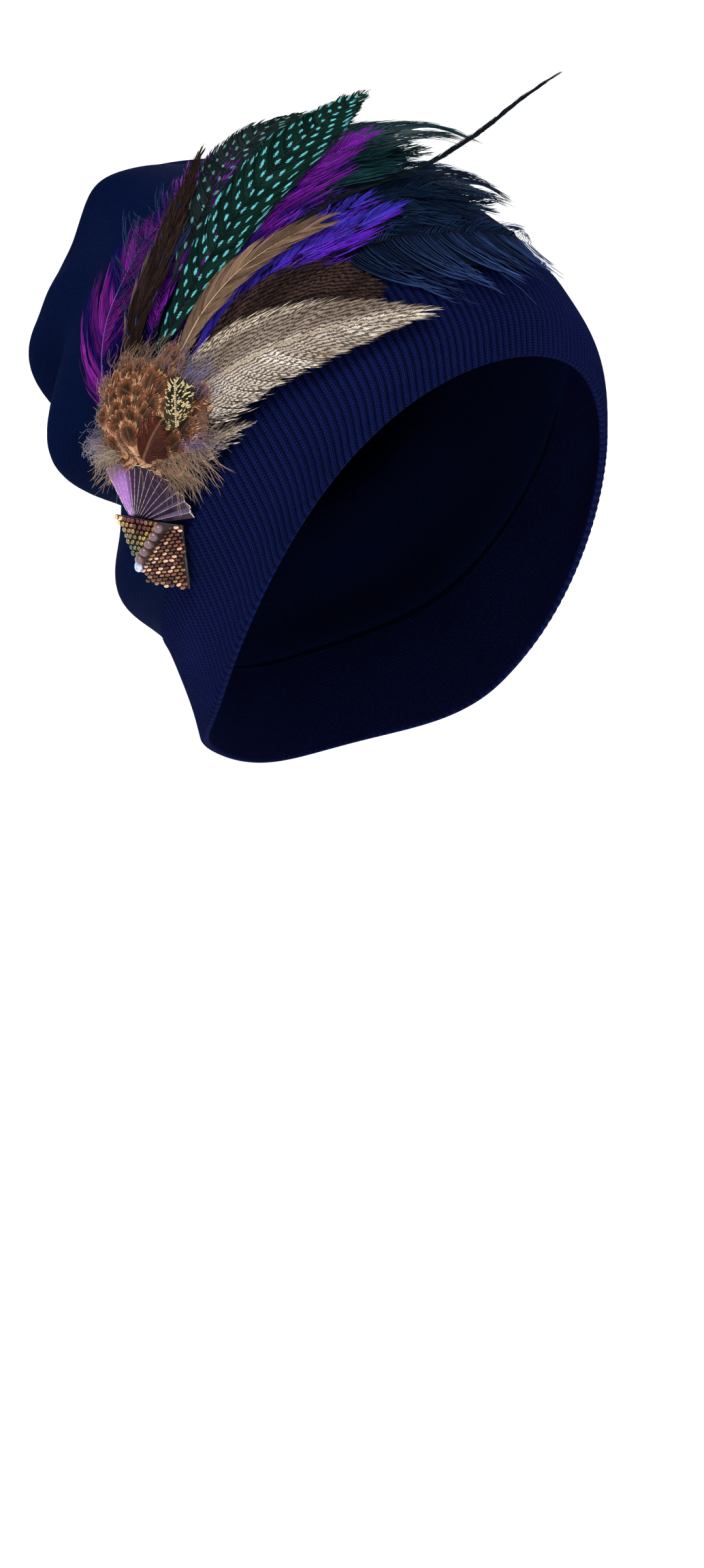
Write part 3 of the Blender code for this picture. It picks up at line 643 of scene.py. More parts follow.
def pad_frame():
    """Middle of the pad on the hat, and the directions ahead and up in its plane."""
    outward = hat_normal(*(np.array(v) for v in PAD_PLACE))
    ahead = unit(np.cross((0.0, 0.0, 1.0), outward))
    return hat_surface(*PAD_PLACE), ahead, np.cross(outward, ahead)


def under_pad(x, y):
    """Degrees and share of the place on the hat under a point x ahead and y up in the pad's plane."""
    middle, ahead, up = pad_frame()
    target = middle + np.asarray(x)[..., None] * ahead + np.asarray(y)[..., None] * up
    return find_on_hat(PAD_PLACE[0], PAD_PLACE[1], target, ahead, up)


def feather_sheet(layer, bearing, stations):
    """Points and outward directions of a feather's sheet, and the length of its shaft.

    Rows follow a Catmull-Rom curve through the stations and run on straight
    past the tip. Columns step sideways over the hat, square to the shaft.
    """
    turn = np.radians(bearing)
    root = under_pad(STEM_RADIUS * np.cos(turn), STEM_RADIUS * np.sin(turn))
    route = ((float(root[0]), float(root[1]), 0.0),) + stations
    share = np.linspace(0.0, 1.0 + TIP_SPARE, SHEET_ROWS)
    inside = np.minimum(share, 1.0)
    last_step = between_rows(route, np.array(1.0)) - between_rows(route, np.array(1.0 - LAST_STEP))
    rows = between_rows(route, inside) + (share - inside)[:, None] / LAST_STEP * last_step
    angle, along, rise = np.moveaxis(rows, -1, 0)
    shaft = np.gradient(above_hat(angle, along, rise * PLUME_RISE), axis=0)
    aside = unit(np.cross(hat_normal(angle, along), shaft))
    ahead = np.cross(aside, hat_normal(angle, along))
    across = np.linspace(-SHEET_HALF, SHEET_HALF, SHEET_COLUMNS)[None, :, None]
    target = hat_surface(angle, along)[:, None, :] + across * aside[:, None, :]
    places = find_on_hat(angle[:, None], along[:, None], target, aside[:, None, :], ahead[:, None, :])
    outward = hat_normal(*places)
    lift = FIRST_LIFT + layer * LAYER_PITCH + rise[:, None] * PLUME_RISE
    points = hat_surface(*places) + outward * lift[..., None]
    steps = np.linalg.norm(np.diff(points[:, SHEET_COLUMNS // 2], axis=0), axis=-1)
    return points, outward, float(steps[share[1:] <= 1.0].sum())


def on_sheet(sheet, share, out, lift):
    """Point and outward direction at a share of the shaft and a distance out.

    Both are blended from the sheet's four nearest points.
    """
    points, outward, _ = sheet
    row = np.clip(share / (1.0 + TIP_SPARE) * (SHEET_ROWS - 1), 0, SHEET_ROWS - 1.001)
    column = np.clip((out / SHEET_HALF + 1) / 2 * (SHEET_COLUMNS - 1), 0, SHEET_COLUMNS - 1.001)
    i, j = row.astype(int), column.astype(int)
    p, q = (row - i)[..., None], (column - j)[..., None]

    def blend(field):
        low = field[i, j] * (1 - q) + field[i, j + 1] * q
        high = field[i + 1, j] * (1 - q) + field[i + 1, j + 1] * q
        return low * (1 - p) + high * p

    direction = unit(blend(outward))
    return blend(points) + direction * np.asarray(lift)[..., None], direction


print("spray sewn on at", np.round(pad_frame()[0] / MM, 1), "mm")

# %% [markdown]
# Barbs leave the shaft at a lean and curve towards the tip. Out is
# reach (1 - (1 - s)^1.5) and ahead is forward s^1.25, for s from root to tip of
# the barb. Real vanes split: neighbours cling together in clumps and leave
# slits. So the barbs get group numbers, and within a group the tips pull
# towards the group's middle. Frayed feathers vary more in length. A thin closed
# leaf lies under the barbs, so that the vane is as dense as a real one and only
# the slits at its edge let anything through.

# %% Outline of a vane
BARB_THICKNESS = 0.16 * MM
NARROWEST_BARB = 0.16 * MM
LOWEST_BARB = 0.1 * MM   # over the sheet
CLUMP_SIZE = 9
SPRAY_FROM = 0.80        # share of the shaft from which the barbs run on past the tip
MAP_UNIT = 10 * MM       # the map of a feather counts in centimetres
SHAFT_ROWS = 40
LEAF_ROWS = 40
LEAF_COLUMNS = 8
LEAF_TOP, LEAF_FOOT = 0.16 * MM, 0.06 * MM
PLAIN_TONE = 0.3         # of the shaft and the leaf


def half_width(share, look):
    """Half width of a vane: a sine hill with its top at belly, raised to a power under one."""
    inside = np.clip((share - look["bare"]) / (1.0 - look["bare"]), 0.0, 1.0)
    hill = np.sin(np.pi * inside ** (np.log(0.5) / np.log(look["belly"]))) ** VANE_FULLNESS
    return look["width"] * VANE_HALF_WIDTH * hill


def smooth(value, low, high):
    """0 below low, 1 above high, and 3t^2 - 2t^3 between."""
    part = np.clip((value - low) / (high - low), 0.0, 1.0)
    return part * part * (3 - 2 * part)


def group_numbers(count, size):
    """Numbers that grow by one at random, every size places on average."""
    return np.cumsum(chance.random(count) < 1.0 / size)


def reach_to_outline(root, lean, length, look, scale):
    """Half width where each barb's tip meets the vane's outline.

    A tip at share t with half width w(t) belongs to a root at t - scale w(t) / (tan(lean) length).
    """
    tip = np.linspace(look["bare"], 1.0, 400)
    slope = np.tan(np.interp(tip, root, lean))
    from_root = np.maximum.accumulate(tip - scale * half_width(tip, look) / (slope * length))
    rising = np.append(True, np.diff(from_root) > 1e-9)
    return half_width(np.interp(root, from_root[rising], tip[rising]), look)


print(f"barbs {BARB_THICKNESS / MM:.2f} mm thick, in clumps of about {CLUMP_SIZE}")


# %% Barbs of one side
def gaps_between(path, along):
    """Distance from each barb to its neighbours, square to its own direction, at every step."""
    apart = np.gradient(path, axis=0)
    apart = apart - (apart * along).sum(-1, keepdims=True) * along
    return np.linalg.norm(apart, axis=-1)


def barbs(sheet, look, side):
    """Barbs on one side of a feather: paths, outward directions, widths, map and tone."""
    length = sheet[2]
    count = int(length * (1.0 - look["bare"]) / look["pitch"])
    root = np.linspace(look["bare"], look["end"], count) + chance.normal(0.0, 0.25 / count, count)
    root = np.sort(root)
    group = group_numbers(count, CLUMP_SIZE)
    middle = (np.bincount(group, root) / np.maximum(np.bincount(group), 1))[group]
    nudge = chance.normal(0.0, 1.0, group.max() + 1)[group]
    lean = np.radians(look["lean_root"] + (look["lean_tip"] - look["lean_root"]) * root ** 1.5)
    scale = look["upper"] if side > 0 else look["lower"]
    reach = scale * reach_to_outline(root, lean, length, look, scale)
    reach = reach * (1.0 + look["fray"] * chance.normal(0.0, 1.0, count)).clip(0.25, 1.5)
    spray = look["spray"] * smooth(root, SPRAY_FROM, 1.0) * chance.uniform(0.3, 1.0, count)
    forward = reach / np.tan(lean) + spray
    step = np.linspace(0.0, 1.0, look["steps"])[None, :]
    reach, forward = reach[:, None], forward[:, None]
    out = side * reach * (1 - (1 - step) ** 1.5)
    pull = look["clump"] * ((middle - root) * length + nudge * 1.5 * look["pitch"])[:, None]
    ahead = forward * step ** 1.25 + pull * step ** 2
    curl = look["curl"] * (0.5 + chance.random(count)[:, None]) * step ** 2
    bed = VANE_THICKNESS * (0.35 + 0.3 * chance.random(count)[:, None])
    lift = np.maximum(bed + curl + 0.25 * MM * nudge[:, None] * step, LOWEST_BARB)
    path, outward = on_sheet(sheet, root[:, None] + ahead / length, out, lift)
    width = look["cover"] * gaps_between(path, unit(np.gradient(path, axis=1)))
    width = np.clip(width, NARROWEST_BARB, 1.6 * look["pitch"]) * (1 - 0.45 * step ** 4)
    places = np.stack(np.broadcast_arrays((root * length)[:, None], out), -1) / MAP_UNIT
    tone = 0.35 * chance.random(count) + 0.65 * chance.random(group.max() + 1)[group]
    return path, outward, width, places, tone


# %% [markdown]
# A feather is joined from its barbs, its shaft and the leaf under them. They
# could be three objects, but one mesh with three finishes keeps every feather
# a single piece, as it is on the real hat.

# %% One feather
def shaft_rod(sheet, look):
    """Shaft: a thin round rod on the sheet's middle line that tapers to the tip."""
    share = np.linspace(0.0, look["end"] - 0.01, SHAFT_ROWS)[None, :]
    path, _ = on_sheet(sheet, share, 0 * share, VANE_THICKNESS * 0.6 + 0 * share)
    return rods(path, look["shaft"] * (1 - 0.85 * (share / look["end"]) ** 1.3), sides=6)


def under_vane(sheet, look):
    """Thin closed leaf: rows along the shaft, each a flat ring out, over the edge and back."""
    share = np.linspace(look["bare"] + 0.02, look["end"] - 0.04, LEAF_ROWS)[:, None]
    across = np.linspace(-1.0, 1.0, LEAF_COLUMNS)
    across = np.append(across, across[::-1])[None, :]
    width = look["leaf"] * half_width(share, look)
    out = across * width * np.where(across > 0, look["upper"], look["lower"])
    ring = np.arange(2 * LEAF_COLUMNS)
    lift = np.where(ring < LEAF_COLUMNS, LEAF_TOP, LEAF_FOOT)[None, :] + 0 * out
    grid, _ = on_sheet(sheet, share + 0 * out, out, lift)
    ends = np.stack([ring[::-1], (LEAF_ROWS - 1) * ring.size + ring])
    return grid.reshape(-1, 3), [grid_faces(LEAF_ROWS, ring.size, closed=True), ends]


def make_feather(name, sheet, look):
    """One feather: the barbs of both vanes, the shaft and the thin leaf under them, in one mesh."""
    sides = [barbs(sheet, look, side) for side in (1, -1)]
    path, outward, width, places, tone = (np.concatenate(part) for part in zip(*sides))
    threads, groups, thread, step = strands(path, outward, width, BARB_THICKNESS + 0 * width)
    blocks = [(threads, groups), shaft_rod(sheet, look)]
    if look["leaf"]:
        blocks.append(under_vane(sheet, look))
    points, faces, which = join(blocks)
    others = len(points) - len(threads)
    where = np.vstack([places[thread, step], np.zeros((others, 2))])
    tones = np.append(tone[thread], np.full(others, PLAIN_TONE))
    return add_piece(name, points, faces, [look["vane"], look["stem"], look["under"]],
                     look["for"], where, 0.0, tones, which=which)


# %% [markdown]
# Feather keratin is satin, not glossy, and its colour lives in each barb. So
# one base finish mixes a deep and a bright colour by the barb's own tone and
# by long streaks, and the patterns are laid over it from the map: rows of
# spots, fine wavy bars or loose blotches, all in centimetres on the feather.
# Its gloss is close to none, as loose barbs would else look white where they
# are seen edge on. The shafts and the thin leaves have plain finishes. The
# leaves stand for the barbs beneath and are painted darker than the barbs
# above, as painted shade.

# %% Feather finishes
class Vane(Finish):
    """Finish of barbs: deep to bright by tone and streaks, then a pattern over it."""

    def __init__(self, name, deep, bright, roughness=0.5, rare=1.4, gloss=0.02):
        super().__init__(name, Roughness=roughness, Sheen_Roughness=0.4, Specular_IOR_Level=gloss)
        self.along, self.out = self.map()
        streaks = self.noise(self.lay(5.0, 0.9), 3.0)
        own = self.math("POWER", self.attribute("tone", "Fac"), rare)
        share = self.times_plus(own, 0.75, self.times(streaks, 0.35))
        self.colour = self.mix(share, deep, bright)
        self.paint(self.colour)

    def lay(self, by_along, by_out):
        """The map stretched by two scales, as a vector for a texture."""
        along = self.times(self.along, by_along)
        out = self.times(self.out, by_out)
        return self.node("ShaderNodeCombineXYZ", {0: along, 1: out}).outputs[0]

    def over(self, mask, colour):
        self.colour = self.mix(mask, self.colour, colour)
        self.paint(self.colour)
        return self

    def spots(self, row, column, size, colour):
        """Rows of oval spots: each row shifted by half a column, each spot a little off its place."""
        rows = self.math("DIVIDE", self.along, row)
        number = self.math("FLOOR", rows)
        wobble = self.noise(self.lay(2.2, 2.2), 1.0)
        columns = self.times_plus(number, 0.5, self.math("DIVIDE", self.out, column))
        columns = self.times_plus(wobble, 0.6, columns)
        from_row = self.math("SUBTRACT", self.math("FRACT", rows), 0.5)
        from_column = self.math("SUBTRACT", self.math("FRACT", columns), 0.5)
        squares = (self.math("POWER", part, 2.0) for part in (from_row, from_column))
        distance = self.math("SQRT", self.math("ADD", *squares))
        return self.over(self.step(distance, size, size * 0.72), colour)

    def bars(self, pitch, wave, strength, colour):
        """Fine wavy bars across the barbs: a sine of the distance out, pushed about by noise."""
        push = self.noise(self.lay(3.0, 2.4), 1.0, 3.0)
        turns = self.times_plus(push, wave, self.math("DIVIDE", self.out, pitch))
        swing = self.math("SINE", self.times(turns, 2 * np.pi))
        return self.over(self.times(self.step(swing, -0.1, 0.5), strength), colour)

    def blotches(self, by_along, by_out, low, high, colour):
        mask = self.step(self.noise(self.lay(by_along, by_out), 1.0, 2.0), low, high)
        return self.over(mask, colour)

    def beyond(self, low, high, colour, strength=0.75):
        """Another colour from a distance out, on one side of the shaft."""
        return self.over(self.times(self.step(self.out, low, high), strength), colour)


magenta_vane = Vane("magenta_hackle", dye(18, 4, 56), dye(156, 44, 172), 0.42)
magenta_vane.blotches(0.8, 0.5, 0.46, 0.58, dye(22, 10, 84))
purple_vane = Vane("purple_hackle", dye(20, 4, 56), dye(136, 34, 176), 0.42)
purple_vane.blotches(0.6, 0.5, 0.50, 0.62, dye(24, 12, 84))
violet_vane = Vane("violet_feather", dye(16, 12, 80), dye(78, 62, 206), 0.42)
violet_vane.beyond(-0.15, -0.45, dye(98, 30, 186)).blotches(1.1, 1.6, 0.58, 0.62, dye(10, 8, 34))
plum_vane = Vane("plum_feather", dye(16, 8, 40), dye(88, 38, 146), 0.45)
plum_vane.blotches(1.0, 0.8, 0.50, 0.60, dye(16, 12, 44))
guinea_vane = Vane("spotted_feather", dye(10, 18, 18), dye(36, 46, 48), gloss=0.0)
guinea_vane.spots(0.70, 0.44, 0.19, dye(96, 142, 144))
green_vane = Vane("green_spotted_feather", dye(6, 20, 18), dye(24, 52, 44), gloss=0.0)
green_vane.spots(0.70, 0.36, 0.22, dye(96, 180, 188))
# The bright steel blue that a few herl barbs get is painted highlight.
navy_vane = Vane("navy_herl", dye(1, 4, 18), dye(54, 78, 132), 0.45, rare=3.0)
plume_vane = Vane("navy_plume", dye(1, 5, 18), dye(20, 44, 74), 0.45, rare=1.8)
teal_vane = Vane("teal_plume", dye(1, 10, 18), dye(24, 62, 66), 0.45, rare=1.8)
brown_vane = Vane("brown_flank", dye(24, 17, 17), dye(74, 55, 50), 0.6)
brown_vane.bars(0.14, 1.8, 0.90, dye(10, 6, 7))
dark_vane = Vane("dark_brown_feather", dye(18, 12, 11), dye(58, 42, 36), 0.55)
dark_vane.bars(0.16, 1.1, 0.5, dye(14, 9, 8)).beyond(0.44, 0.62, dye(130, 108, 88), 0.70)
tan_vane = Vane("tan_feather", dye(50, 36, 30), dye(156, 126, 102), 0.55)
cream_vane = Vane("cream_flank", dye(158, 140, 124), dye(238, 226, 212), 0.55)
# A tan upper vane, and past 0.95 cm a pale fringe that is partly the feather's pale edge and partly
# painted highlight.
cream_vane.beyond(0.02, 0.30, dye(108, 88, 72), 0.72).beyond(0.95, 1.30, dye(226, 208, 186), 0.75)
cream_vane.bars(0.125, 2.4, 0.85, dye(42, 34, 32))
black_vane = Vane("black_quill", dye(3, 6, 10), dye(22, 32, 40), 0.4)

# The under-vane leaves are painted darker than their barbs: painted shade among the barbs.
PLAIN_VANES = {
    # name: deep, bright, roughness, gloss
    "dark_shaft": (dye(8, 8, 12), dye(28, 26, 34), 0.35, 0.02),
    "pale_shaft": (dye(140, 116, 92), dye(206, 188, 160), 0.4, 0.02),
    "lilac_shaft": (dye(70, 40, 120), dye(150, 96, 186), 0.4, 0.02),
    "green_under_vane": (dye(4, 14, 12), dye(18, 38, 34), 0.5, 0.0),
    "dark_under_vane": (dye(1, 5, 14), dye(6, 20, 34), 0.5, 0.0),
    "brown_under_vane": (dye(22, 15, 14), dye(50, 38, 33), 0.5, 0.02),
    "cream_under_vane": (dye(104, 88, 72), dye(176, 158, 136), 0.5, 0.02),
}
plain = {name: Vane(name, deep, bright, rough, gloss=gloss).material
         for name, (deep, bright, rough, gloss) in PLAIN_VANES.items()}
dark_shaft, pale_shaft, lilac_shaft, green_under, dark_under, brown_under, cream_under = plain.values()
print("plain finishes:", *plain)

# %% [markdown]
# The feathers, lowest first. The table gives each one's layer, the bearing of
# its root on the stem, its vane and its route, as in the solids. A route is
# the line of the feather's shaft over the cloth.

# %% Routes of the feathers
FEATHERS = (
    # name layer bearing width bare belly stations
    ("left_hackle", 0, 164, 0.50, 0.15, 0.50,
     ((103, 0.415, 0), (99, 0.455, 0), (86, 0.485, 0), (72, 0.497, 0), (60, 0.508, 0), (52, 0.518, 0))),
    ("upper_hackle", 0, 138, 0.42, 0.30, 0.70,
     ((82, 0.400, 0), (66, 0.440, 0), (50, 0.480, 0), (38, 0.525, 0), (30, 0.570, 0))),
    ("navy_plume", 0, 81, 1.00, 0.25, 0.66,
     ((74, 0.345, 0), (50, 0.360, 0), (30, 0.375, 0), (12, 0.370, 0),
      (-2, 0.350, 0.12), (-14, 0.320, 0.25), (-24, 0.280, 0.30))),
    ("navy_herl", 1, 59, 1.10, 0.22, 0.64,
     ((74, 0.315, 0), (52, 0.300, 0), (34, 0.270, 0), (15, 0.240, 0),
      (-3, 0.210, 0.10), (-18, 0.180, 0.15))),
    ("teal_plume", 1, 103, 1.15, 0.28, 0.74,
     ((77, 0.360, 0), (55, 0.400, 0), (35, 0.430, 0), (18, 0.445, 0.10),
      (3, 0.440, 0.36), (-9, 0.410, 0.65), (-19, 0.365, 0.75))),
    ("blue_feather", 2, 47, 0.50, 0.15, 0.50,
     ((74, 0.300, 0), (60, 0.303, 0), (46, 0.297, 0), (32, 0.290, 0), (17, 0.295, 0.03))),
    ("right_hackle", 2, 92, 0.42, 0.20, 0.60,
     ((76, 0.350, 0), (60, 0.375, 0), (45, 0.390, 0), (33, 0.405, 0.02),
      (20, 0.420, 0.11), (5, 0.435, 0.34))),
    ("rear_guinea", 2, 126, 0.85, 0.30, 0.60,
     ((82, 0.375, 0), (68, 0.410, 0), (52, 0.450, 0), (38, 0.490, 0), (26, 0.530, 0.05),
      (12, 0.565, 0.25), (1, 0.575, 0.42))),
    ("long_quill", 2, 70, 0.12, 0.05, 0.40,
     ((74, 0.328, 0), (58, 0.342, 0), (40, 0.345, 0), (26, 0.345, 0.03), (12, 0.345, 0.08),
      (0, 0.345, 0.36), (-12, 0.360, 0.92), (-21, 0.380, 1.75), (-27, 0.395, 2.50))),
    ("brown_flank", 3, 34, 0.90, 0.15, 0.55,
     ((72, 0.290, 0), (60, 0.275, 0), (48, 0.243, 0), (40, 0.207, 0), (34, 0.180, 0))),
    ("lower_lock_1", 3, 2, 0.28, 0.20, 0.50,
     ((78, 0.245, 0), (70, 0.212, 0), (61, 0.185, 0))),
    ("lower_lock_2", 3, -12, 0.28, 0.20, 0.50,
     ((84, 0.225, 0), (78, 0.205, 0), (72, 0.180, 0))),
    ("main_guinea", 3, 114, 0.90, 0.14, 0.55,
     ((79, 0.360, 0), (64, 0.378, 0), (50, 0.402, 0), (34, 0.435, 0.04),
      (16, 0.475, 0.20), (5, 0.492, 0.50), (-4, 0.500, 0.80))),
    ("dark_quill", 3, 150, 0.42, 0.12, 0.40,
     ((86, 0.400, 0), (77, 0.430, 0), (62, 0.455, 0), (47, 0.500, 0.02), (35, 0.548, 0.10))),
    ("tan_quill", 4, 68, 0.30, 0.10, 0.50,
     ((74, 0.325, 0), (64, 0.335, 0), (52, 0.335, 0), (38, 0.320, 0), (24, 0.295, 0.03))),
    ("mallard_flank", 4, 18, 0.88, 0.08, 0.40,
     ((76, 0.268, 0), (66, 0.242, 0), (54, 0.203, 0), (42, 0.158, 0), (29, 0.115, 0))),
)
print("long feathers:", len(FEATHERS))

# %% [markdown]
# Eight loose tufts fill the spaces between the feathers. They are fluff, too
# soft for a solid, so they are in this scene alone. Their barbs could be hair,
# but as feathers with a short shaft they need nothing new.

# %% Routes of the tufts
EXTRA_FEATHERS = (
    # name layer bearing width bare belly stations, in the scene alone
    ("purple_tuft_rear", 1.4, 132, 0.62, 0.22, 0.62,
     ((82, 0.385, 0), (67, 0.428, 0), (51, 0.468, 0), (39, 0.510, 0), (29, 0.545, 0))),
    ("purple_tuft_middle", 1.4, 104, 0.80, 0.22, 0.66,
     ((77, 0.356, 0), (61, 0.382, 0), (46, 0.404, 0), (32, 0.424, 0),
      (19, 0.440, 0.06), (8, 0.448, 0.22))),
    ("plum_tuft_middle", 1.3, 84, 0.70, 0.20, 0.64,
     ((75, 0.342, 0), (60, 0.358, 0), (46, 0.366, 0), (33, 0.372, 0), (20, 0.374, 0.03))),
    ("violet_tuft_low", 1.5, 62, 0.62, 0.18, 0.62,
     ((74, 0.320, 0), (60, 0.327, 0), (46, 0.328, 0), (33, 0.326, 0), (21, 0.326, 0.02))),
    ("blue_wisp_rear", 2.2, 150, 0.62, 0.30, 0.60,
     ((87, 0.405, 0), (78, 0.440, 0), (66, 0.472, 0), (57, 0.500, 0), (49, 0.525, 0))),
    ("dark_tuft_top", 0.6, 96, 1.10, 0.28, 0.72,
     ((75, 0.352, 0), (54, 0.385, 0), (36, 0.405, 0.02), (20, 0.412, 0.10),
      (6, 0.405, 0.24), (-5, 0.385, 0.34))),
    ("dark_tuft_crest", 0.7, 108, 1.10, 0.32, 0.74,
     ((76, 0.362, 0), (56, 0.410, 0), (38, 0.438, 0.03), (22, 0.452, 0.10),
      (8, 0.452, 0.30), (-3, 0.436, 0.46))),
    ("dark_tuft_front", 0.5, 76, 1.00, 0.26, 0.70,
     ((73, 0.335, 0), (52, 0.342, 0), (34, 0.338, 0), (18, 0.322, 0),
      (4, 0.300, 0.06), (-8, 0.272, 0.14))),
)
print("tufts:", len(EXTRA_FEATHERS))

# %% [markdown]
# How the barbs grow: their pitch and lean, how much of the gap they cover, how
# they clump, fray, curl and spray past the tip, and how long the upper and
# lower vanes are. The dark herl has long loose barbs that hang on its lower
# side, and the quill is nearly bare.

# %% Growth of the barbs
# The columns of a row. Pitch, curl, spray and shaft are in mm.
LOOK_COLUMNS = ("pitch", "lean_root", "lean_tip", "cover", "clump", "fray", "curl", "spray",
                "upper", "lower", "end", "steps", "shaft", "vane", "stem", "slot")
LOCK = (0.60, 20, 12, 0.6, 0.9, 0.32, 0.8, 12, 1.2, 1.2, 0.98, 8, 0.25,
        cream_vane, pale_shaft, "cream_feather")
BARBS = {
    "lower_lock_1": LOCK, "lower_lock_2": LOCK,
    "left_hackle": (0.45, 34, 16, 0.8, 0.75, 0.25, 1.2, 8, 1.3, 1.3, 0.98, 8, 0.40,
        magenta_vane, lilac_shaft, "purple_feather"),
    "upper_hackle": (0.45, 34, 15, 0.9, 0.6, 0.25, 1.2, 12, 1.5, 1.5, 0.98, 8, 0.35,
        purple_vane, dark_shaft, "purple_feather"),
    "navy_plume": (0.45, 44, 26, 1.3, 0.6, 0.22, 2.0, 8, 1.25, 1.2, 0.80, 9, 0.35,
        plume_vane, dark_shaft, "navy_plume"),
    "navy_herl": (0.75, 50, 34, 0.34, 1.0, 0.16, 0.8, 6, 0.6, 1.5, 0.90, 10, 0.40,
        navy_vane, dark_shaft, "navy_plume"),
    "teal_plume": (0.45, 44, 26, 1.5, 0.6, 0.15, 1.6, 5, 1.3, 1.3, 0.80, 9, 0.35,
        teal_vane, dark_shaft, "navy_plume"),
    "blue_feather": (0.45, 30, 16, 1.0, 0.6, 0.22, 0.8, 9, 1.2, 1.5, 0.98, 8, 0.35,
        violet_vane, lilac_shaft, "violet_feather"),
    "right_hackle": (0.45, 38, 20, 0.9, 0.65, 0.25, 1.4, 9, 1.7, 1.9, 0.96, 8, 0.35,
        purple_vane, lilac_shaft, "purple_feather"),
    "rear_guinea": (0.42, 38, 24, 1.5, 0.3, 0.05, 0.3, 6, 1.0, 1.0, 0.98, 8, 0.45,
        guinea_vane, dark_shaft, "spotted_feather"),
    "long_quill": (0.55, 12, 7, 1.2, 0.3, 0.15, 0.2, 3, 0.75, 0.75, 0.98, 5, 0.50,
        black_vane, dark_shaft, "black_quill"),
    "brown_flank": (0.40, 36, 22, 1.5, 0.3, 0.06, 0.4, 7, 1.0, 1.0, 0.98, 8, 0.35,
        brown_vane, dark_shaft, "brown_feather"),
    "main_guinea": (0.42, 38, 26, 1.5, 0.3, 0.05, 0.3, 6, 1.0, 1.0, 0.98, 8, 0.45,
        green_vane, dark_shaft, "spotted_feather"),
    "dark_quill": (0.40, 22, 13, 1.2, 0.6, 0.18, 0.5, 7, 0.8, 0.8, 0.98, 8, 0.35,
        dark_vane, dark_shaft, "brown_feather"),
    "tan_quill": (0.42, 20, 11, 1.1, 0.5, 0.12, 0.4, 6, 1.1, 1.1, 0.84, 8, 0.40,
        tan_vane, pale_shaft, "tan_feather"),
    "mallard_flank": (0.40, 34, 18, 1.4, 0.40, 0.05, 0.4, 10, 1.1, 1.1, 0.98, 8, 0.45,
        cream_vane, pale_shaft, "cream_feather"),
    "purple_tuft_rear": (0.60, 40, 22, 0.8, 0.7, 0.30, 1.6, 9, 1.2, 1.2, 0.97, 8, 0.30,
        purple_vane, dark_shaft, "purple_feather"),
    "purple_tuft_middle": (0.55, 40, 22, 0.8, 0.7, 0.28, 1.6, 9, 1.2, 1.2, 0.97, 8, 0.30,
        purple_vane, dark_shaft, "purple_feather"),
    "plum_tuft_middle": (0.55, 38, 22, 0.8, 0.7, 0.28, 1.4, 9, 1.2, 1.2, 0.97, 8, 0.30,
        plum_vane, dark_shaft, "purple_feather"),
    "violet_tuft_low": (0.55, 36, 20, 0.8, 0.7, 0.28, 1.2, 9, 1.1, 1.2, 0.97, 8, 0.30,
        violet_vane, dark_shaft, "violet_feather"),
    "blue_wisp_rear": (1.30, 50, 26, 0.30, 0.9, 0.50, 2.5, 10, 1.3, 1.3, 0.97, 9, 0.20,
        navy_vane, dark_shaft, "black_quill"),
    "dark_tuft_top": (0.50, 46, 28, 1.4, 0.7, 0.18, 1.8, 5, 1.1, 1.1, 0.95, 8, 0.30,
        teal_vane, dark_shaft, "navy_plume"),
    "dark_tuft_crest": (0.50, 46, 28, 1.4, 0.7, 0.18, 1.6, 5, 1.1, 1.1, 0.95, 8, 0.30,
        teal_vane, dark_shaft, "navy_plume"),
    "dark_tuft_front": (0.50, 46, 28, 1.3, 0.7, 0.25, 2.0, 7, 1.1, 1.1, 0.95, 8, 0.30,
        plume_vane, dark_shaft, "navy_plume"),
}
UNDER = {
    # slot or name: finish of the thin leaf under the barbs, and its share of the vane's width
    "spotted_feather": (green_under, 0.86), "brown_feather": (brown_under, 0.76),
    "tan_feather": (brown_under, 0.70), "cream_feather": (cream_under, 0.84),
    "navy_plume": (dark_under, 0.68), "purple_feather": (dark_under, 0.40),
    "violet_feather": (dark_under, 0.50), "black_quill": (dark_under, 0.80),
    "lower_lock_1": (cream_under, 0.30), "lower_lock_2": (cream_under, 0.30),
    "blue_wisp_rear": (dark_under, 0.0),
}
print("kinds of growth:", len(set(BARBS.values())))


# %% Every long feather
def look_of(name):
    """The row of BARBS by column names, with its lengths in metres."""
    look = dict(zip(LOOK_COLUMNS, BARBS[name]))
    for column in ("pitch", "curl", "spray", "shaft"):
        look[column] *= MM
    look["vane"] = look["vane"].material
    look["under"], look["leaf"] = UNDER.get(name, UNDER[look["slot"]])
    look["for"] = [name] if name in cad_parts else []
    return look


for name, layer, bearing, width, bare, belly, stations in FEATHERS + EXTRA_FEATHERS:
    look = look_of(name) | {"width": width, "bare": bare, "belly": belly}
    make_feather("barbs_of_" + name, feather_sheet(layer, bearing, stations), look)

# %% [markdown]
# Over the roots lies a pad of small copper feathers. It could be one painted
# dome, but its outline and light edges come from overlapping tips. So a dark
# dome holds the bulk, and some eighty small feathers lie on it in rings, the
# outermost first, each with its own barbs. All of them are worked out at once:
# one array holds every small feather, every barb on it and every step along it.

# %% Dome under the small feathers
PAD_OUTLINE = (
    # bearing reach
    (0, 1.00), (45, 0.86), (90, 0.70), (135, 0.86), (180, 0.92), (215, 0.50),
    (240, 0.29), (270, 0.28), (300, 0.31), (328, 0.58), (360, 1.00),
)
PAD_COLUMNS = 60
UNDERSIDE = (0.3, 0.3, 0.8)    # shares of the outline: foot of the stem, its top, and the lower rim
DOME_ROWS = 14
DOME_INSET = 0.93
PAD_BASE = FIRST_LIFT + TOP_LAYER * LAYER_PITCH + VANE_THICKNESS + 2 * GAP
FEATHER_BED = 1.2 * MM   # room for the small feathers above the dome


